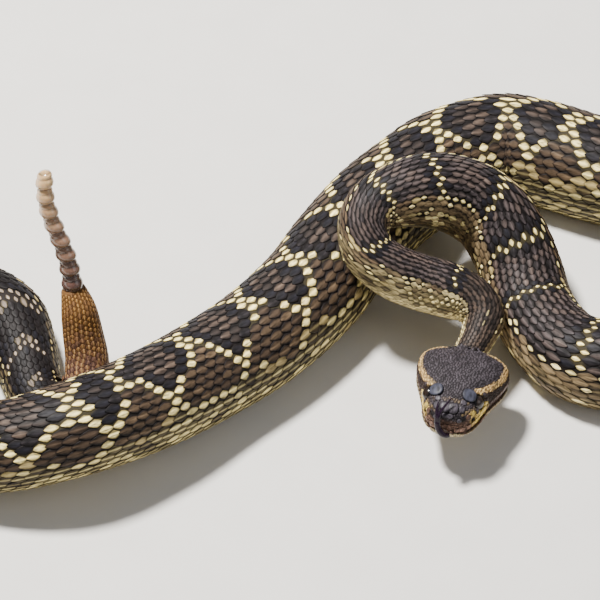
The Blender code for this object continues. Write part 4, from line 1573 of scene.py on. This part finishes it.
def skin_finish():
    """The thin, matt skin that shows between the scales, with its fine folds."""
    constants = {"Specular IOR Level": 0.12}
    return grained_finish("skin", 1400.0, (0.58, 0.74), (0.5, 0.0002), constants, shade=(0.7, 1.2))


def scute_finish():
    """The smooth, satin belly plates."""
    return grained_finish("scutes", 420.0, (0.36, 0.48), (0.2, 0.0001), {}, shade=(0.8, 1.12))


def eye_finish():
    """A dark bronze iris, painted darker still as the shade under the brow, under a wet, clear cap,
    coloured by the eye's own attribute.
    """
    constants = {"Specular IOR Level": 0.4, "Coat Weight": 0.2, "Coat Roughness": 0.05}
    return grained_finish("eyes", 2400.0, (0.16, 0.24), None, constants, shade=(0.65, 1.35))


def tongue_finish():
    """Wet, purple-black flesh."""
    constants = {"Specular IOR Level": 0.2, "Coat Weight": 0.06, "Coat Roughness": 0.06}
    colours = (srgb(12, 7, 15), srgb(36, 21, 38))
    return grained_finish("tongue", 1200.0, (0.2, 0.32), (0.25, 0.0001), constants, colours=colours)


def horn_finish():
    """Dry, waxy horn, glossy, with its colours from the mesh."""
    constants = {
        "Coat Weight": 0.5, "Coat Roughness": 0.12,
        "Subsurface Weight": 0.12, "Subsurface Scale": 0.002,
    }
    bump = (0.25, 0.00015)
    return grained_finish("rattle_horn", 700.0, (0.16, 0.26), bump, constants, shade=(0.82, 1.18))


def floor_finish():
    """Matt, pale grey paper."""
    made, nodes, links, shader = finish_nodes("studio_floor")
    graded(nodes, links, shader, grain(nodes, links, 40.0), (0.60, 0.585, 0.56), (0.66, 0.645, 0.62))
    shader.inputs["Roughness"].default_value = 0.9
    return made


# Eyes, tongue and rattle.

def loft(rings, start_tip=None, end_tip=None):
    """A closed mesh through rings of equal count, closed by flat caps or by tips."""
    work = bmesh.new()
    loops = [[work.verts.new(point) for point in ring] for ring in rings]
    for first, second in zip(loops, loops[1:]):
        for i in range(len(first)):
            j = (i + 1) % len(first)
            work.faces.new((first[i], first[j], second[j], second[i]))
    for loop, tip in ((loops[0][::-1], start_tip), (loops[-1], end_tip)):
        if tip is None:
            work.faces.new(loop)
            continue
        point = work.verts.new(tip)
        for i, vert in enumerate(loop):
            work.faces.new((vert, loop[(i + 1) % len(loop)], point))
    bmesh.ops.recalc_face_normals(work, faces=work.faces[:])
    made = bpy.data.meshes.new("loft")
    work.to_mesh(made)
    work.free()
    return made


EYE_SHRINK = 0.03
EYE_STEPS = 40  # rings from pole to pole, and points round each
EYE_LOOK = (0.93, 0.28, 0.24)  # where the right eye looks
EYE_UPRIGHT = (0.0, 0.12, 1.0)
PUPIL = srgb(6, 5, 6)
# The iris is painted near black: painted shade of the overhanging brow over its own dark bronze.
IRIS = srgb(28, 20, 16)
PUPIL_HALF = (0.11, 0.50)  # half width and half height of the slit, against the eye's radius
IRIS_EDGE = 0.86


def make_eye(name, side, finish):
    """An eyeball with an upright slit pupil, painted ring by ring from the front."""
    ahead = unit(np.array((side * EYE_LOOK[0], *EYE_LOOK[1:])))
    tall = unit(np.cross(ahead, np.cross(EYE_UPRIGHT, ahead)))
    wide = np.cross(ahead, tall)
    centre = np.array((EYE_CENTRE[0] * side, *EYE_CENTRE[1:]))
    radius = EYE_RADIUS - EYE_SHRINK
    rings, tints = [], []
    for r in range(1, EYE_STEPS):
        polar = math.pi * r / EYE_STEPS
        ring = []
        for k in range(EYE_STEPS):
            turn = 2 * math.pi * k / EYE_STEPS
            a, b, c = math.cos(polar), math.sin(polar) * math.cos(turn), math.sin(polar) * math.sin(turn)
            ring.append(centre + radius * (a * ahead + b * tall + c * wide))
            slit = (c / PUPIL_HALF[0]) ** 2 + (b / PUPIL_HALF[1]) ** 2 < 1
            dark = slit or math.sin(polar) > IRIS_EDGE or a < 0
            tints.append(PUPIL if dark else IRIS * (0.8 + 0.5 * abs(math.sin(3 * turn))))
        rings.append(from_head(ring).tolist())
    mesh = loft(rings, *from_head([centre + ahead * radius, centre - ahead * radius]))
    write_colours(mesh, "tint", [*tints, PUPIL, PUPIL])
    return add_piece(name, mesh, finish, [name])


# The tongue's routes in the head's frame, and the radius at each point of them.
TONGUE_STEM = [
    (-0.9, 42.4, -2.9), (0.3, 43.8, -2.0), (1.7, 43.9, -0.6), (2.8, 43.5, 1.2), (3.5, 42.9, 3.6),
]
TONGUE_STEM_RADII = (1.35, 1.35, 1.35, 1.3, 1.15)
TINE_ROUTES = (
    [(3.6, 42.8, 2.9), (3.9, 41.9, 6.3), (4.2, 40.6, 8.6), (4.4, 38.3, 10.8)],
    [(3.2, 42.8, 2.9), (3.2, 42.0, 6.3), (2.3, 40.5, 8.7), (0.8, 38.6, 10.8), (-0.9, 36.4, 12.7)],
)
TINE_RADII = (1.15, 0.88, 0.58, 0.42, 0.22)  # a shorter route leaves out the last but one
TONGUE_FLATNESS = 0.72
TONGUE_SIDES = 18
TONGUE_STEPS = 10


def tube(route, radii):
    """A tapering, slightly flattened tube along a route in the head's frame."""
    fine = mirrored_route(np.column_stack([np.array(route, float), radii]), TONGUE_STEPS)
    tangent = unit(np.gradient(fine[:, :3], axis=0))
    wide = np.tile((1.0, 0.0, 0.0), (len(fine), 1))
    wide = unit(wide - tangent * (wide * tangent).sum(1, keepdims=True))
    deep = np.cross(tangent, wide)
    turn = full_turn(TONGUE_SIDES)
    rings = []
    for point, w, d in zip(fine, wide, deep):
        section = np.outer(np.cos(turn), w) + TONGUE_FLATNESS * np.outer(np.sin(turn), d)
        rings.append(from_head(point[:3] + point[3] * section))
    first = fine[0, :3] - tangent[0] * fine[0, 3] * 0.5
    last = fine[-1, :3] + tangent[-1] * fine[-1, 3]
    return loft(rings, *from_head([first, last]))


def make_tongue(finish):
    """Stem and two tines, fused."""
    stem = new_object("tongue_stem", tube(TONGUE_STEM, TONGUE_STEM_RADII))
    for route in TINE_ROUTES:
        radii = TINE_RADII[: len(route) - 1] + TINE_RADII[-1:]
        modifier = stem.modifiers.new("fuse", "BOOLEAN")
        modifier.operation = "UNION"
        modifier.solver = "EXACT"
        modifier.object = new_object("tine", tube(route, radii))
    fused = evaluated_mesh(stem)
    for modifier in stem.modifiers:
        bpy.data.objects.remove(modifier.object, do_unlink=True)
    bpy.data.objects.remove(stem, do_unlink=True)
    return add_piece("tongue", fused, finish, ["tongue"])


RATTLE_SEGMENTS = 8
RATTLE_WIDTHS = (8.8, 7.2)  # of the first segment and the button, in millimetres
RATTLE_DEPTH_RATIO = 1.2
RATTLE_SIDES = 40
RATTLE_GAP = 0.3 * MM  # between the tail and the rattle
RATTLE_FIT = 0.99  # keeps it inside the solid
BUTTON_REACH = 0.8 * MM
GROOVE_DEPTH = 0.07
GROOVE_HALF = 0.30
# Place along a segment, and its breadth and shade there, against the segment's full ones. The shade is
# painted shade, darkest in the narrow creases between segments.
SEGMENT_PROFILE = [
    (0.00, 0.70, 0.35), (0.04, 0.84, 1.0), (0.12, 0.95, 1.0), (0.24, 1.0, 1.0), (0.38, 0.995, 1.0),
    (0.52, 0.94, 1.0), (0.62, 0.86, 1.0), (0.68, 0.83, 0.75), (0.76, 0.85, 1.0), (0.85, 0.83, 1.0),
    (0.93, 0.76, 1.0), (0.99, 0.68, 0.35),
]
FIRST_BREADTH = 0.94  # where the rattle sits on the tail
HORN_ROOT = srgb(74, 50, 46)
HORN_MIDDLE = srgb(128, 98, 78)
HORN_TIP = srgb(188, 154, 110)


def make_rattle(body, finish):
    """Loose horny segments, each a swelling over the neck of the next, up to the button."""
    root = body.columns(body.length)[:3]
    tip = (np.array(RATTLE_TIP) + PLACE) * MM
    tangent = unit(tip - root)
    up = unit(np.array((0.0, 0.0, 1.0)) - tangent * tangent[2])
    side = np.cross(tangent, up)
    reach = np.linalg.norm(tip - root) - RATTLE_GAP
    turn = full_turn(RATTLE_SIDES)
    groove = 1 - GROOVE_DEPTH * np.exp(-((np.cos(turn) / GROOVE_HALF) ** 2))
    section = np.outer(np.sin(turn) * groove, side)
    section = section + RATTLE_DEPTH_RATIO * np.outer(np.cos(turn) * groove, up)
    rings, tints = [], []
    for n in range(RATTLE_SEGMENTS):
        for share, breadth, shade in SEGMENT_PROFILE:
            t = (n + share) / RATTLE_SEGMENTS
            width = RATTLE_WIDTHS[0] + (RATTLE_WIDTHS[1] - RATTLE_WIDTHS[0]) * t
            breadth = max(breadth, FIRST_BREADTH) if t < 0.015 else breadth
            half = width / 2 * breadth * MM * RATTLE_FIT
            swing = RATTLE_BOW[0] * math.sin(2 * math.pi * t) - RATTLE_BOW[1] * math.sin(math.pi * t)
            centre = root + tangent * (RATTLE_GAP + reach * t) + np.array([swing, 0.0, 0.0]) * MM
            rings.append((centre + half * section).tolist())
            colour = blend(blend(HORN_ROOT, HORN_MIDDLE, [2 * t]), HORN_TIP, [2 * t - 1])[0]
            tints.extend([colour * shade] * len(turn))
    mesh = loft(rings, root + tangent * RATTLE_GAP, tip + tangent * BUTTON_REACH)
    # The cap at the root, against the tail, is painted dark as shade.
    write_colours(mesh, "tint", [*tints, HORN_ROOT * 0.3, HORN_TIP])
    return add_piece("rattle", mesh, finish, ["rattle"])


# The studio.

FLOOR_HALF = 3.0
KEY_PLACE = (-0.55, 0.35, 1.6)
KEY_SIZE = 0.28
KEY_WATTS = 112
KEY_COLOUR = (1.0, 0.97, 0.92)
FILL_PLACE = (1.3, -0.7, 1.2)
FILL_SIZE = 1.4
FILL_WATTS = 6
FILL_COLOUR = (0.96, 0.98, 1.0)
LIGHT_TARGET = (0, 0, 0.02)
SKY_COLOUR = (0.95, 0.97, 1.0, 1)
SKY_STRENGTH = 0.32
CAMERA_TARGET = (-0.0056, 0.0110, 0.0)
CAMERA_DISTANCE = 1.6
CAMERA_ELEVATION = math.radians(48)
CAMERA_LENS = 228.6
CAMERA_SENSOR = 36.0


def make_floor():
    corners = [(x * FLOOR_HALF, y * FLOOR_HALF, 0) for x, y in ((-1, -1), (1, -1), (1, 1), (-1, 1))]
    mesh = new_mesh("floor", corners, [(0, 1, 2, 3)])
    mesh.materials.append(floor_finish())
    obj = new_object("floor", mesh)


def soft_light(name, place, size, watts, colour):
    data = bpy.data.lights.new(name, "AREA")
    data.shape = "DISK"
    data.size = size
    data.energy = watts
    data.color = colour
    obj = new_object(name, data)
    obj.location = place
    aim = Vector(LIGHT_TARGET) - Vector(place)
    obj.rotation_euler = aim.to_track_quat("-Z", "Y").to_euler()


def make_camera():
    """The photo's camera, as far as its place could be found."""
    data = bpy.data.cameras.new("camera")
    data.lens = CAMERA_LENS
    data.sensor_width = CAMERA_SENSOR
    camera = new_object("camera", data)
    x, y, z = CAMERA_TARGET
    camera.location = (
        x,
        y - CAMERA_DISTANCE * math.cos(CAMERA_ELEVATION),
        z + CAMERA_DISTANCE * math.sin(CAMERA_ELEVATION),
    )
    camera.rotation_euler = (math.pi / 2 - CAMERA_ELEVATION, 0.0, 0.0)
    bpy.context.scene.camera = camera


def make_studio():
    make_floor()
    soft_light("key", KEY_PLACE, KEY_SIZE, KEY_WATTS, KEY_COLOUR)
    soft_light("fill", FILL_PLACE, FILL_SIZE, FILL_WATTS, FILL_COLOUR)
    world = bpy.data.worlds.new("studio")
    world.use_nodes = True
    sky = world.node_tree.nodes["Background"]
    sky.inputs["Color"].default_value = SKY_COLOUR
    sky.inputs["Strength"].default_value = SKY_STRENGTH
    bpy.context.scene.world = world
    make_camera()


def main():
    body = Body()
    make_skin(body, skin_finish())
    tree = scale_tree()
    keeled = keeled_scale("keeled_scale", BODY_SCALE_STATIONS, BODY_SCALE_COLUMNS, BODY_KEEL_RISE)
    granule = keeled_scale("granule", GRANULE_STATIONS, GRANULE_COLUMNS, GRANULE_KEEL_RISE)
    smooth = smooth_plate()
    coat = scale_finish("body_scales", roughness=0.56, keel_share=0.8)
    head_coat = scale_finish("head_scales", roughness=0.52, keel_share=0.5)
    shield_coat = scale_finish("head_shields", roughness=0.40, keel_share=0.5)
    random = np.random.default_rng(SEED)
    ends = [0.0, *STRETCH_ENDS, body.length]
    names = ("neck_scales", "fore_scales", "shoulder_scales", "mid_scales", "rear_scales", "tail_scales")
    for name, start, end in zip(names, ends, ends[1:]):
        lay_scales(name, tree, keeled, coat, body_spots(body, start, end, random))
    make_scutes(body, scute_finish())
    head = Head()
    lay_scales("head_granules", tree, granule, head_coat, head_granules(head, random))
    lay_scales("head_shields", tree, smooth, shield_coat, head_shields(head, random))
    for plate in (keeled, granule, smooth):
        bpy.data.objects.remove(plate, do_unlink=True)
    eyes = eye_finish()
    make_eye("eye_right", 1, eyes)
    make_eye("eye_left", -1, eyes)
    make_tongue(tongue_finish())
    make_rattle(body, horn_finish())
    make_studio()


main()
